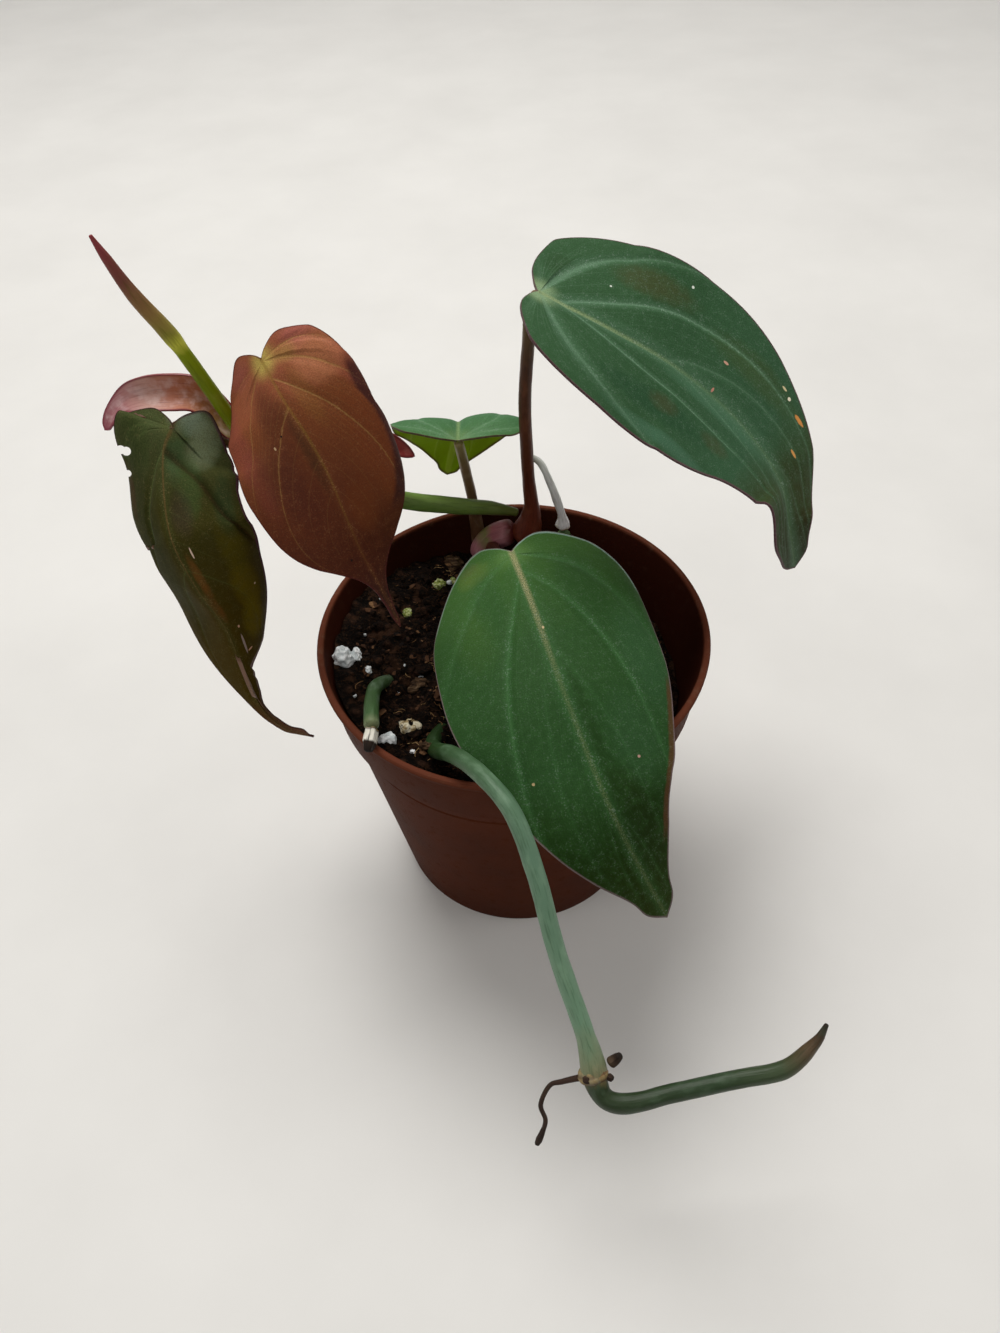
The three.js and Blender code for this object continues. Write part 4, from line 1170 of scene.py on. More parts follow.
# %% Laying a leaf
def leaf_piece(name, leaf, columns=44, rows=150, thickness=0.38, relief=0.3, ripple=0.0):
    leaf["line"] = Line(leaf["rib"])
    piece, across, t = flat_sheet(name, 2 * columns, rows)
    s = 2 * across - 1
    w = np.abs(s)
    count = len(t)
    places, flat = np.zeros((count, 3)), np.zeros((count, 3))
    share, order, gap, strength = (np.zeros(count) for _ in range(4))
    for side in (1, -1):
        half = s >= 0 if side > 0 else s < 0
        places[half], flat[half], share[half] = leaf_form(leaf, side, t[half], w[half])
        if "veins" in leaf:
            small = 1e-3
            ahead = leaf_form(leaf, side, np.minimum(t[half] + small, 1), w[half])[1]
            behind = leaf_form(leaf, side, np.maximum(t[half] - small, 0), w[half])[1]
            outer = leaf_form(leaf, side, t[half], np.minimum(w[half] + small, 1))[1]
            inner = leaf_form(leaf, side, t[half], np.maximum(w[half] - small, 0))[1]
            step_t, step_w = (ahead - behind)[:, :2] / (2 * small), unit((outer - inner)[:, :2] + 1e-9)
            spread = np.abs(step_t[:, 0] * step_w[:, 1] - step_t[:, 1] * step_w[:, 0])
            order[half], width, strength[half] = vein_order(leaf["veins"][side], t[half], w[half])
            gap[half] = width * spread
    from_vein = np.abs((order + 0.5) % 1 - 0.5) * gap
    from_rib = np.abs(flat[:, 0])
    quilt = 1 - np.where(strength < 0, -2.5 * strength, strength) * np.exp(-((from_vein / 1.3) ** 2))
    groove = 1 - 1.2 * np.exp(-((from_rib / 0.9) ** 2)) * (1 - 0.7 * share)
    calm = np.clip(flat[:, 2] / 2.5, 0, 1) * np.clip(np.hypot(flat[:, 0], flat[:, 1]) / 5, 0.2, 1)
    wave = np.array([noise.noise(Vector((0.13 * a, 0.13 * b, 5))) for a, b, _ in flat])
    lift = relief * (quilt * groove - 0.6) * calm + ripple * wave * np.clip(w * 1.3, 0, 1)
    move_to(piece, places)
    paint(
        piece,
        flat=flat,
        veins=np.stack([order, gap, from_rib], axis=1),
        strength=strength,
        length=share,
        outward=w,
        lift=lift if "veins" in leaf else ripple * wave,
    )
    merge_doubles(piece)
    normals = np.empty(3 * len(piece.data.vertices), np.float32)
    piece.data.vertex_normals.foreach_get("vector", normals)
    move_to(piece, places_of(piece) + normals.reshape(-1, 3) * painted(piece, "lift")[:, None])
    piece.data.materials.append(None)
    piece.data.materials.append(None)
    modify(piece, "SOLIDIFY", thickness=thickness * MM, offset=-1, material_offset=1, material_offset_rim=0)
    smooth(piece, 70)
    return piece


# %% [markdown]
# ## Leaf finish
# The upper face of this leaf is velvet: thousands of tiny raised cells that scatter the light, so it
# has a soft sheen at a slant and darker colour seen straight on. Glints of single cells are painted
# as pale sparks, a painted sheen lies along the veins and the midrib, and creases get painted shade.
# The colour runs from the notch to the tip, with a pale glow where the petiole joins, paler veins, a
# thin red margin, and spots and scars. All of it is drawn in the flat millimetres of the blade.

# %% Velvet
PLAIN_VELVET = dict(
    patches=(), hems=(), scars=(), glow_reach=9, glow_strength=0.8, painted_sheen_halo=2.2, painted_sheen_strength=0.2,
    vein_width=0.42, vein_strength=0.5, rib_width=0.65, rib_strength=0.75, rib_speckle=0.3, rib_start=0.2,
    rib_end=0.9, edge_width=0.6, painted_glints=0.2, glint_tone="#cfe0d6", specular=0.2, sheen=0.06,
    sheen_tone="#a9c9bd",
)


def leaf_finish(name, look):
    """look holds what differs from plain velvet."""
    look = {**PLAIN_VELVET, **look}
    finish = Finish(name)
    flat = finish.attribute("flat", "Vector")
    x, y, margin = (flat.axis(i) for i in range(3))
    veins = finish.attribute("veins", "Vector")
    order, gap, from_rib = (veins.axis(i) for i in range(3))
    length, outward = finish.attribute("length"), finish.attribute("outward")
    strength = finish.attribute("strength")
    surface = finish.stretched(flat, (1, 1, 0))
    cloud = finish.noise(surface, 0.11, 3)
    mottle = finish.noise(surface, 0.7, 4, 0.6)
    velvet = finish.noise(surface, 4.5, 2, 0.7)

    colour = finish.ramp(length + 0.16 * (cloud - 0.5), *look["tones"])
    for place_x, place_y, wide, long, code, cover in look["patches"]:
        away = ((x - place_x) / wide) ** 2 + ((y - place_y) / long) ** 2
        colour = finish.blend((away + 0.8 * (mottle - 0.5)).rise(1.6, 0.0) * cover, colour, code)
    colour = finish.blend(mottle.rise(0.4, 0.75) * 0.2, colour, look["light"])

    notch = (x**2 + y**2) ** 0.5
    glow = notch.rise(look["glow_reach"], 0.5) ** 1.5
    colour = finish.blend(glow * look["glow_strength"], colour, look["glow"])

    from_vein = ((order + 0.5).fraction() - 0.5).size() * gap
    fine_vein = ((order * 4 + 0.5).fraction() - 0.5).size() * gap / 4
    crease_shade = from_vein.rise(1.0, 0.05) * (0 - strength).most(0)
    fading = strength.most(0) * (1 - 0.6 * outward.rise(0.5, 1.0))
    painted_sheen_halo = from_vein.rise(look["painted_sheen_halo"], 0.2) * fading
    main = from_vein.rise(look["vein_width"], 0.08) * fading
    faint = fine_vein.rise(0.16, 0.02) * (1 - outward.rise(0.4, 1.0)) * (1 - main)
    rib_fade = length.rise(look["rib_end"], look["rib_start"])
    rib = (from_rib + 0.25 * length).rise(look["rib_width"], 0.1) * (0.15 + 0.85 * rib_fade)
    rib_painted_sheen = (from_rib + 0.5 * length).rise(look["painted_sheen_halo"], 0.2)
    # painted sheen: a paler band along the strong veins and the midrib
    colour = finish.blend(painted_sheen_halo.most(rib_painted_sheen) * look["painted_sheen_strength"], colour, look["painted_sheen_tone"])
    colour = finish.blend(faint * 0.1, colour, look["vein"])
    colour = finish.blend(main * look["vein_strength"], colour, look["vein"])
    speckled = 1 - look["rib_speckle"] * velvet.rise(0.6, 0.4)
    colour = finish.blend(rib * speckled * look["rib_strength"], colour, look["rib"])
    # painted shade: the blade is darkened along each crease
    colour = finish.blend(crease_shade * 0.6, colour, tone(look["tones"][-2][1], 0.4))

    for side, low, high, wide, code, cover in look["hems"]:
        inside = (x * side).rise(0, 2) * y.rise(low, low + 4) * y.rise(high, high - 4)
        hem = (margin + 0.5 * (mottle - 0.5)).rise(wide, 0.6 * wide) * inside
        colour = finish.blend(hem * cover, colour, code)
    edge = (margin + 0.3 * (mottle - 0.5)).rise(look["edge_width"], 0.1)
    colour = finish.blend(edge * 0.8, colour, look["edge"])

    # painted glints: pale sparks on single velvet cells, most of them along the veins
    grains = finish.cells(surface, 5.5, "Color").axis(0)
    painted_glints = grains.rise(0.75, 1.0) * (0.35 + 0.65 * painted_sheen_halo.most(rib_painted_sheen)) * mottle.rise(0.35, 0.6)
    colour = finish.blend(painted_glints * look["painted_glints"], colour, look["glint_tone"])
    colour = finish.blend(velvet.rise(0.6, 0.35) * 0.3, colour, "#000000")

    for scar_x, scar_y, wide, long, code in look["scars"]:
        away = (((x - scar_x) / wide) ** 2 + ((y - scar_y) / long) ** 2) ** 0.5
        colour = finish.blend((away + 0.6 * (velvet - 0.5)).rise(1.1, 0.8), colour, code)

    bumps = velvet + 0.5 * mottle - 0.8 * main.most(rib)
    finish.surface(
        base_color=colour,
        roughness=0.6 + 0.18 * (velvet - 0.5) + 0.1 * (cloud - 0.5),
        normal=finish.bump(bumps, 0.09, 0.55),
        specular=look["specular"],
        sheen_weight=look["sheen"],
        sheen_roughness=0.45,
        sheen_tint=look["sheen_tone"],
    )
    return finish


def underside_finish(name, main_tone, other_tone, vein_tone, edge_tone="#5c2a2c"):
    finish = Finish(name)
    flat = finish.attribute("flat", "Vector")
    veins = finish.attribute("veins", "Vector")
    surface = finish.stretched(flat, (1, 1, 0))
    cloud = finish.noise(surface, 0.15, 3)
    cells = finish.noise(surface, 3.5, 2)
    from_vein = ((veins.axis(0) + 0.5).fraction() - 0.5).size() * veins.axis(1)
    main = from_vein.rise(0.5, 0.1) * finish.attribute("strength")
    rib = veins.axis(2).rise(0.8, 0.3)
    colour = finish.ramp(cloud, (0.35, main_tone), (0.65, other_tone))
    colour = finish.blend(main.most(rib) * 0.6, colour, vein_tone)
    colour = finish.blend(flat.axis(2).rise(0.7, 0.1) * 0.8, colour, edge_tone)
    finish.surface(
        base_color=colour,
        roughness=0.5 + 0.15 * (cells - 0.5),
        normal=finish.bump(cells + 2.0 * main.most(rib), 0.12, 0.5),
        specular=0.25,
    )
    return finish


# %% [markdown]
# ## The five blades
# Each has its own rib through space, the way its face looks at the base and at the tip, and a fold,
# a curl, a lobe and a taper for each half. A side vein is given as the place on the margin line where
# it starts, how much it drifts towards the tip, how late that drift sets in, and its strength, which
# is negative for a crease. A nick narrows or widens one half near a place on its margin, as at the
# torn notch low on the bronze leaf. The round bites of an insect in that leaf's left edge lie where
# the margin runs along a fold, so they are cut through the finished blade with small cylinders.

# %% Blades
RIGHT_BLADE = dict(
    outline=HEART,
    rib=[
        (6.7, 24.8, 111.2), (18.2, 22.7, 105.3), (29.4, 21, 98.5), (39.7, 17.1, 90.3), (46.7, 11.8, 82),
        (48.9, 7.2, 74.3), (51.6, 7.6, 64.8),
    ],
    face=[(0.74, -0.12, 0.66), (0.7, -0.68, -0.22)],
    right=dict(width=19.7, lobe=0.42, taper=1.08, fold=(0.05, 0.08), curl=(-0.02, -0.01)),
    left=dict(width=19.8, lobe=0.35, taper=1.08, fold=(0.05, 0.33), curl=(0.2, -0.24)),
    relief=0.34,
    veins={
        1: [
            (0.2, 0.03, 1.5, 0.2), (0.36, 0.05, 1.5, 0), (0.47, 0.07, 3, 0.8), (0.5, 0.37, 1, 1),
            (0.62, 0.3, 1, 0.35), (0.74, 0.21, 1.2, 0.3),
        ],
        -1: [
            (0.2, 0.03, 1.5, 0.2), (0.36, 0.05, 1.5, 0), (0.445, 0.1, 4, 1), (0.5, 0.26, 1.4, 1),
            (0.62, 0.24, 1.4, 0.35), (0.74, 0.18, 1.4, 0.3),
        ],
    },
)
FRONT_BLADE = dict(
    outline=HEART,
    rib=[
        (0.6, 9.3, 70.2), (3.3, -5.6, 72.2), (6.7, -21, 70.3), (10.6, -33.2, 64.8), (13.1, -39.4, 61.1),
        (16.3, -43.7, 54.9), (21.9, -49, 43.7),
    ],
    face=[(-0.2, -0.14, 0.97), (0.29, -0.64, 0.71)],
    right=dict(width=19.6, lobe=0.98, taper=0.98, fold=(-0.18, -0.02), curl=(-0.33, -0.18)),
    left=dict(width=19.4, roll=-0.5, lobe=0.82, taper=1.01, fold=(-0.14, -0.05), curl=(-0.3, -0.13)),
    relief=0.34,
    veins={
        1: [
            (0.2, 0.04, 1.5, 0), (0.36, 0.04, 1.5, 0), (0.44, 0.09, 1.2, 0.6), (0.5, 0.2, 0.7, 1),
            (0.61, 0.2, 1, 0.25), (0.74, 0.18, 1.2, 0.25),
        ],
        -1: [
            (0.2, 0.04, 1.5, 0), (0.36, 0.05, 1.5, 0), (0.44, 0.11, 2, 1), (0.5, 0.2, 1.2, 1),
            (0.61, 0.2, 1.2, 0.25), (0.74, 0.18, 1.2, 0.25),
        ],
    },
)
COPPER_BLADE = dict(
    outline=LONG_TIP,
    rib=[
        (-35.9, 11.3, 109.5), (-32.9, 6, 106.3), (-29.6, 2.6, 101.6), (-27.2, 0.7, 95.6),
        (-25.5, -0.7, 88.4), (-23.8, -1.5, 81), (-21.5, -3.4, 75.4), (-18.8, -6.9, 69.8),
    ],
    face=[(-0.2, -0.94, 0.28), (0.66, -0.63, 0.4)],
    right=dict(width=13.2, lobe=0.97, taper=1.12, fold=(-0.17, 0.07), curl=(-0.07, -0.1)),
    left=dict(width=12.5, roll=-1.1, lobe=0.58, taper=1.01, fold=(-0.09, -0.03), curl=(-0.31, -0.19)),
    nicks=[
        (-1, 0.43, 0.03, -0.05), (-1, 0.49, 0.03, 0.06), (1, 0.3, 0.04, -0.06), (1, 0.8, 0.1, 0.25),
        (-1, 0.8, 0.1, 0.25),
    ],
    relief=0.3,
    veins={
        1: [
            (0.25, 0.1, 1.5, 0.3), (0.36, 0.1, 1.8, 0), (0.44, 0.17, 1.8, 0.7), (0.5, 0.15, 1.9, 0),
            (0.555, 0.17, 2, 0.7), (0.7, 0.12, 1.4, 0),
        ],
        -1: [
            (0.25, 0.13, 1.2, 1), (0.36, 0.06, 1.2, 0), (0.44, 0.035, 1.5, 1), (0.5, 0.14, 1.2, 1),
            (0.555, 0.16, 1.3, 0), (0.7, 0.15, 1.4, 0),
        ],
    },
)
BRONZE_BLADE = dict(
    outline=LONG_TIP,
    rib=[
        (-51.1, 7.8, 101.2), (-52.9, 4.7, 98.3), (-53.1, -1.1, 92.8), (-52.1, -5.5, 88.6),
        (-50.2, -7.2, 81), (-48, -6.4, 70.3), (-46.4, -7.6, 53.3), (-42.1, -10.4, 48.5),
        (-37, -11.5, 47.1),
    ],
    face=[(-0.1, -0.98, -0.17), (0.75, -0.65, 0.15)],
    right=dict(width=12.4, lobe=0.35, taper=1, fold=(-0.68, -1.1), curl=(-0.25, -0.5)),
    left=dict(width=12.7, lobe=0.8, taper=1.1, fold=(-0.12, -0.62), curl=(-0.1, -0.66), steady=0.055),
    nicks=[
        (1, 0.44, 0.05, -0.08), (-1, 0.71, 0.012, 0.4), (-1, 0.725, 0.03, 0.55), (-1, 0.775, 0.04, 0.4),
        (-1, 0.44, 0.08, 0.1), (1, 0.93, 0.12, -1.6), (-1, 0.93, 0.12, -1.6),
    ],
    bites=[((-60.1, 9.5, 96.1), 0.7), ((-61.3, 10.4, 95.8), 0.7), ((-61.2, 9.5, 91.8), 0.55)],
    relief=0.5, rows=260,
    veins={
        1: [
            (0.2, 0.06, 1.2, 0.2), (0.36, 0.04, 1.2, 0.3), (0.46, 0.11, 1, 0.7), (0.6, 0.14, 1.6, 0.3),
            (0.74, 0.12, 1.5, 0.2),
        ],
        -1: [
            (0.2, 0.06, 1.2, 0), (0.36, 0.04, 1.2, 0), (0.46, 0.12, 2.5, -0.8), (0.6, 0.14, 1.6, 0.2),
            (0.74, 0.12, 1.5, 0.2),
        ],
    },
)
SMALL_BLADE = dict(
    outline=HEART,
    rib=[
        (-8, 24.8, 84.1), (-7.9, 28, 84.1), (-7.9, 32, 83.1), (-8.3, 35, 79.5), (-9.2, 36.5, 75.3),
        (-10.2, 36.8, 71.4), (-11.1, 36, 68.2),
    ],
    face=[(0, -0.1, 1), (-0.1, 1, 0.1)],
    right=dict(width=12.8, lobe=0.5, fold=(0.45, 0), curl=(-1, -0.4)),
    left=dict(width=12.5, lobe=0.5, fold=(0.45, 0), curl=(-0.6, -0.4)),
    relief=0.25,
    veins={
        1: [
            (0.2, 0.03, 1.5, 0.6), (0.38, 0.05, 1.5, 0.8), (0.52, 0.15, 1.5, 0.8), (0.68, 0.15, 1.5, 0.5),
        ],
        -1: [
            (0.2, 0.03, 1.5, 0.6), (0.38, 0.05, 1.5, 0.8), (0.52, 0.15, 1.5, 0.8), (0.68, 0.15, 1.5, 0.5),
        ],
    },
)

# %% [markdown]
# ## The colours of each blade
# Tones run along the blade. Patches and scars lie in its flat millimetres, across from the midrib and
# along from the notch. One texture for all five would be less work, but no two of these leaves are
# alike: they turn from rosy copper through bronze to blue-green as they age.

# %% Looks
# tones: share of the length and colour. patches: place across and along, half the width and the
# length, colour and cover. scars: the same without cover. hems: side, from and to along the blade,
# width, colour and cover.
RIGHT_BLADE_LOOK = dict(
    slot="blue_green_leaf", underside=("#6a4038", "#5c4838", "#84645a"),
    # The tones darken from three quarters of the way to the folded tip: painted shade. The two long teal
    # streaks among the patches are painted sheen.
    tones=[
        (0, "#385c38"), (0.3, "#325634"), (0.62, "#365a3c"), (0.76, "#3a4824"), (0.87, "#302e08"),
        (1, "#242004"),
    ],
    patches=[
        (11, 24, 3, 12, "#274c2e", 0.8), (9.7, 25, 2, 3.5, "#484a2c", 0.6),
        (9.5, 38, 1.8, 3.5, "#484a2c", 0.5), (-12.7, 18, 3, 7, "#4a4a26", 0.6),
        (2.4, 36, 1.6, 12, "#5c8a6c", 0.35), (17, 27, 1.6, 13, "#5c8a70", 0.35),
        (-2.6, 54, 4, 5, "#343a12", 0.6), (-9, 2, 3, 3, "#2f4c2a", 0.5), (-10, 38, 3, 9, "#44562c", 0.5),
    ],
    scars=[
        (-7, 33, 0.28, 0.5, "#c99a84"), (-0.9, 33.2, 0.45, 0.22, "#c98a78"),
        (-12.4, 42.6, 0.25, 0.5, "#d8c89c"), (-11.8, 44.1, 0.4, 0.3, "#efe6cc"),
        (-10.9, 47.4, 0.4, 1.1, "#d8924c"), (-5.6, 50.5, 0.35, 0.8, "#d89a54"),
        (-15.9, 23.9, 0.3, 0.2, "#dfe6da"), (-8.9, 11.1, 0.2, 0.2, "#dfe6da"),
    ],
    light="#4c7250", glow="#b4cc98", glow_reach=5, glow_strength=0.9, specular=0.1, painted_sheen_tone="#587f5e",
    painted_sheen_strength=0.55, painted_sheen_halo=3.2, vein="#84a88a", vein_width=0.9, vein_strength=0.35, rib="#a0b07c",
    rib_width=0.8, rib_end=0.5, rib_start=0, rib_speckle=0.5, edge="#6a4450", edge_width=0.45,
    sheen_tone="#a5cfc4",
)
FRONT_BLADE_LOOK = dict(
    slot="green_leaf", underside=("#5c4c3c", "#68443a", "#84705a"),
    # The tones darken towards the tip, which hangs forward away from the lamp: painted shade, as are the
    # dark patches at 44 and 56 mm along the blade.
    tones=[(0, "#41682e"), (0.3, "#305428"), (0.6, "#264820"), (0.78, "#1a3404"), (1, "#263200")],
    patches=[
        (8.2, -0.4, 3.5, 3, "#7c8c40", 0.3), (11, 17, 4, 8, "#5c7c30", 0.12),
        (8.6, -2.6, 2, 1.5, "#5c5c38", 0.3), (-3, 56, 4, 9, "#1a2c04", 0.7),
        (-1.8, 44, 1.6, 14, "#1e3a12", 0.6), (-15, 29, 4, 12, "#5c8a6c", 0.1),
        (-8.5, 44, 4, 9, "#4c7454", 0.12), (-9, 12, 4, 10, "#2a5028", 0.4),
        (7, 10, 3, 10, "#2a5028", 0.4), (5, 50, 4, 10, "#345c30", 0.2),
    ],
    hems=[
        (-1, 34, 64, 1.5, "#5c3a24", 0.75), (1, -9, 10, 0.8, "#a0bcb0", 0.5),
        (-1, -9, 16, 1.0, "#a8c8c0", 0.65),
    ],
    scars=[
        (9.5, 45.3, 0.25, 0.25, "#b09a70"), (-7.7, 46.7, 0.25, 0.25, "#b58f80"),
        (-0.4, 20.6, 0.2, 0.3, "#c9b48a"),
    ],
    light="#42703a", glow="#6f9450", glow_reach=6, glow_strength=0.5, painted_sheen_tone="#4a7c48",
    painted_sheen_strength=0.25, painted_sheen_halo=2.4, vein="#5c8c58", vein_width=0.8, vein_strength=0.15, rib="#bcae84",
    rib_width=0.9, rib_strength=0.85, rib_start=0.05, rib_end=0.45, rib_speckle=0.8, edge="#7c6a6c",
    edge_width=0.4, sheen_tone="#b5d3c2", painted_glints=0.16, specular=0.08, sheen=0.04,
)
COPPER_BLADE_LOOK = dict(
    slot="copper_leaf", underside=("#8a5040", "#9a6a44", "#b08a58"),
    # The bright rosy tones near the notch are partly the young leaf's copper and partly painted light, the
    # lamp behind shining through the thin blade.
    tones=[
        (0, "#a0583c"), (0.2, "#864822"), (0.45, "#683012"), (0.75, "#4e1c06"), (0.86, "#381206"),
        (1, "#120402"),
    ],
    patches=[
        (-7, -0.2, 3, 2.5, "#b8665a", 0.7), (-11, 6.6, 2, 5, "#a0503e", 0.6),
        (6, -1.7, 3, 2, "#a85c50", 0.6), (11.4, 8.1, 2.2, 8, "#94483a", 0.6),
        (-4.1, 1.3, 2, 1.6, "#b48a48", 0.6), (-3.4, 8, 1.6, 5, "#8f5c28", 0.5),
        (0.9, 15, 1.1, 8, "#3a240a", 0.6), (-3.1, 27, 2.6, 5, "#7c3c10", 0.5),
        (-9.4, 25, 2.2, 4, "#7c3814", 0.5), (4.9, 20, 3, 8, "#501c0e", 0.5),
        (-8, 21, 4, 9, "#86441a", 0.4), (-8, 4.5, 4, 4, "#c47c54", 0.7), (3.4, 9, 2.6, 7, "#54220e", 0.6),
        (10, 16, 2, 8, "#7c382c", 0.5), (7, 17, 3, 8, "#582816", 0.5), (-9, 18, 3, 7, "#843f1c", 0.5),
    ],
    hems=[(-1, 5, 32, 3.4, "#3a1012", 0.85)],
    scars=[
        (3.6, 11.2, 0.18, 0.18, "#140804"), (5.5, 12.4, 0.15, 0.35, "#c9a880"),
        (2.1, 34.9, 0.2, 0.2, "#140804"),
    ],
    light="#7c401e", glow="#d0bc60", glow_reach=4, glow_strength=0.95, painted_sheen_tone="#8c5428",
    painted_sheen_strength=0.2, painted_sheen_halo=1.2, vein="#b48a4c", vein_width=0.3, vein_strength=0.5, rib="#94702c",
    rib_width=0.45, rib_strength=0.5, edge="#541c18", edge_width=0.4, sheen_tone="#d8a79c",
    glint_tone="#d8a070", painted_glints=0.25,
)
BRONZE_BLADE_LOOK = dict(
    slot="bronze_leaf", underside=("#6a4038", "#584834", "#846450"),
    tones=[
        (0, "#4c5432"), (0.2, "#3e3c18"), (0.5, "#43360c"), (0.8, "#483808"), (0.9, "#5c3a24"),
        (1, "#7c5a48"),
    ],
    # The two pale grey-green patches at the notch are painted light on the lobe that rolls forward, and the
    # wide dark patch on the other half is painted shade.
    patches=[
        (-2, -2, 3.5, 2.5, "#8a9c84", 0.8), (-5.5, 1, 2.6, 5, "#808c6c", 0.8),
        (-1.8, 4, 1.5, 5, "#4c6440", 0.6), (-4.1, 9, 1.8, 6, "#4c6438", 0.5),
        (5.7, 3.5, 3, 4, "#44542c", 0.5), (-2.5, 14, 1.8, 4, "#443830", 0.5),
        (-1.4, 25.5, 0.7, 4.5, "#8a5228", 0.4), (-0.8, 32.4, 0.7, 4, "#7c4824", 0.35),
        (-7.2, 33.4, 2.6, 6, "#6c5c08", 0.6), (-8.3, 24, 2.2, 7, "#5c520c", 0.5),
        (-5.9, 40, 2.6, 4, "#70600a", 0.6), (7, 22, 5, 20, "#2c300c", 0.7),
        (10.5, 9, 1.5, 4, "#4c2c1c", 0.5), (-9, 14, 1.6, 7, "#30442a", 0.5),
    ],
    scars=[
        (-2.2, 20.8, 0.13, 1.1, "#dcc0ac"), (-8.7, 34.6, 0.2, 0.2, "#c9a890"),
        (-2.3, 38.6, 0.2, 0.3, "#c99a80"), (-2.1, 42.6, 0.24, 2.4, "#94827c"),
        (-3, 44.6, 0.6, 0.2, "#c99a80"),
    ],
    hems=[(-1, -6, 46, 0.8, "#5c3448", 0.7), (-1, 43, 62, 0.9, "#84706e", 0.8)],
    light="#48482a", glow="#6b6a3c", glow_reach=3, glow_strength=0.4, specular=0.02, sheen=0.0,
    painted_sheen_tone="#4c5a34", painted_sheen_strength=0.25, painted_sheen_halo=1.4, vein="#6a7a48", vein_width=0.35, vein_strength=0.4,
    rib="#84603c", rib_width=0.5, rib_strength=0.45, edge="#44242c", edge_width=0.5, sheen_tone="#b5c2a8",
    glint_tone="#b8a070", painted_glints=0.25,
)
SMALL_BLADE_LOOK = dict(
    slot="small_leaf", underside=("#8fb004", "#9cc40c", "#b4d044"),
    tones=[(0, "#4a7a44"), (0.4, "#42754a"), (1, "#3a6a38")],
    light="#5c8c60", glow="#86a266", glow_reach=4, glow_strength=0.5, painted_sheen_tone="#5c8c62",
    painted_sheen_strength=0.35, painted_sheen_halo=1.6, vein="#86ab80", vein_strength=0.3, rib="#86a266", edge="#6a4a3c",
    edge_width=0.3, sheen_tone="#b5dccb",
)
FIVE_LEAVES = [
    ("right_blade", RIGHT_BLADE, RIGHT_BLADE_LOOK), ("front_blade", FRONT_BLADE, FRONT_BLADE_LOOK),
    ("copper_blade", COPPER_BLADE, COPPER_BLADE_LOOK), ("bronze_blade", BRONZE_BLADE, BRONZE_BLADE_LOOK),
    ("small_blade", SMALL_BLADE, SMALL_BLADE_LOOK),
]


def bite_out(piece, place, size):
    """Cuts a round bite through a blade, along the line from the camera."""
    away = Vector(place) - Vector(CAMERA_AT)
    bpy.ops.mesh.primitive_cylinder_add(
        vertices=16, radius=size * MM, depth=7 * MM, location=Vector(place) * MM,
        rotation=away.to_track_quat("Z", "Y").to_euler(),
    )
    cut(piece, bpy.context.object)


for node, leaf, look in FIVE_LEAVES:
    piece = leaf_piece("velvet_" + node, leaf, rows=leaf.get("rows", 150), relief=leaf["relief"])
    piece.data.materials[0] = leaf_finish(node + "_velvet", look).material
    piece.data.materials[1] = underside_finish(node + "_underside", *look["underside"]).material
    for place, size in leaf.get("bites", ()):
        bite_out(piece, place, size)
    smooth(piece, 70)
    settle(piece, look["slot"], node)

# %% [markdown]
# ## Sheaths
# Each leaf of this plant is born in a boat-shaped sheath that dries and curls. The pink one at the
# end of the runner and a smaller red one are short blades without side veins, so the rule for a leaf
# makes them too, with a boat for an outline. The pink one's free end narrows to a hook.

# %% Sheaths
BUD_SHEATH = dict(
    outline=HOOKED_BOAT,
    rib=[
        (-43.2, 13.4, 95.8), (-45.8, 15.6, 98.8), (-48.6, 16.8, 101), (-52.5, 16.8, 101.6),
        (-56.3, 16.3, 101.8), (-60, 15.6, 101.3), (-62.6, 14.8, 99.4), (-64.3, 14.2, 97),
    ],
    face=[(0.2, -0.8, 0.5), (-0.5, -0.7, 0.5)],
    right=dict(width=3.4, fold=(0.5, 0), curl=(0.8, 0.3)),
    left=dict(width=3.4, fold=(0.5, 0), curl=(1, 0.3)),
)
RED_SHEATH = dict(
    outline=BOAT,
    rib=[(-29, 16.2, 88.2), (-25.4, 17.9, 90), (-20.6, 18.2, 89.4), (-15.3, 18, 86)],
    face=[(0, -0.8, 0.6), (0.2, -0.8, 0.6)],
    right=dict(width=2.2, fold=(0.3, 0.3), curl=(0.7, 0.4)),
    left=dict(width=2.2, fold=(0.3, 0.3), curl=(0.7, 0.4)),
)


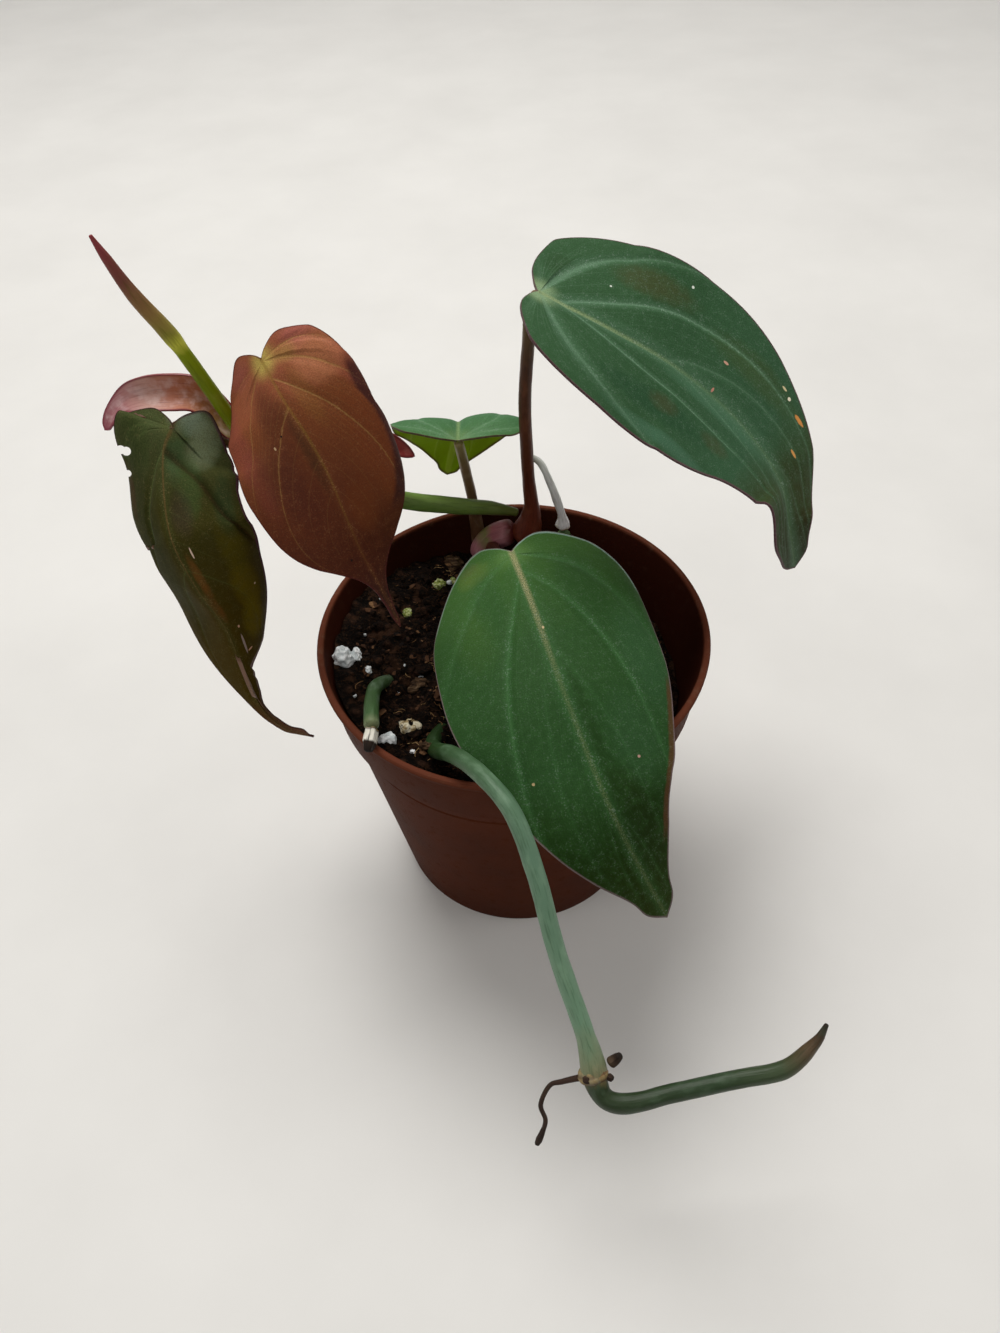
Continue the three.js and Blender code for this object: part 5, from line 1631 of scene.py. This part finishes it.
def sheath_finish(name, stops, edge, bloom, blooms=0.4):
    finish = Finish(name)
    flat = finish.attribute("flat", "Vector")
    length, outward = finish.attribute("length"), finish.attribute("outward")
    surface = finish.stretched(flat, (1, 1, 0))
    lines = finish.noise(finish.stretched(surface, (6, 0.35, 1)), 0.9, 3)
    cloud = finish.noise(surface, 0.45, 3)
    colour = finish.ramp(length + 0.15 * (cloud - 0.5), *stops)
    # The bloom is painted sheen: a pale gleam over the middle of the sheath, fading to its edges.
    colour = finish.blend(cloud.rise(0.4, 0.7) * blooms * (1 - outward.rise(0.5, 1)), colour, bloom)
    colour = finish.blend(lines.rise(0.5, 0.7) * 0.3, colour, edge)
    colour = finish.blend(flat.axis(2).rise(0.6, 0.1) * 0.8, colour, edge)
    finish.surface(
        base_color=colour,
        roughness=0.4 + 0.2 * (cloud - 0.5),
        normal=finish.bump(lines, 0.1, 0.5),
        specular=0.3,
        sheen_weight=0.08,
    )
    return finish


BUD_SHEATH_TONES = [
    (0, "#8a7a3c"), (0.25, "#a0643c"), (0.45, "#c47c60"), (0.62, "#cc9c90"), (0.8, "#b47478"),
    (1, "#8c3c4c"),
]
RED_SHEATH_TONES = [(0, "#7c5034"), (0.5, "#8f4438"), (1, "#a83438")]
TWO_SHEATHS = [
    ("bud_sheath", BUD_SHEATH, BUD_SHEATH_TONES, "#7c2438", "#f4dcd8"),
    ("red_sheath", RED_SHEATH, RED_SHEATH_TONES, "#641c22", "#c88478"),
]
for node, sheath, tones, edge, bloom in TWO_SHEATHS:
    piece = leaf_piece("thin_" + node, sheath, columns=16, rows=70, thickness=0.3, relief=0, ripple=0.12)
    shade = sheath_finish(node + "_skin", tones, edge, bloom).material
    piece.data.materials[0] = piece.data.materials[1] = shade
    settle(piece, "pink_sheath", node)

# %% [markdown]
# ## Size
# The box of the solids and the box of the finished plant are both printed. The finished plant has to
# stay in the box of its solids.

# %% Write the two boxes and finish
looks_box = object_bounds()
for name, low, high in (("solids", *cad_box), ("looks", *looks_box)):
    print(name, [round(1000 * v, 1) for v in low], [round(1000 * v, 1) for v in high])
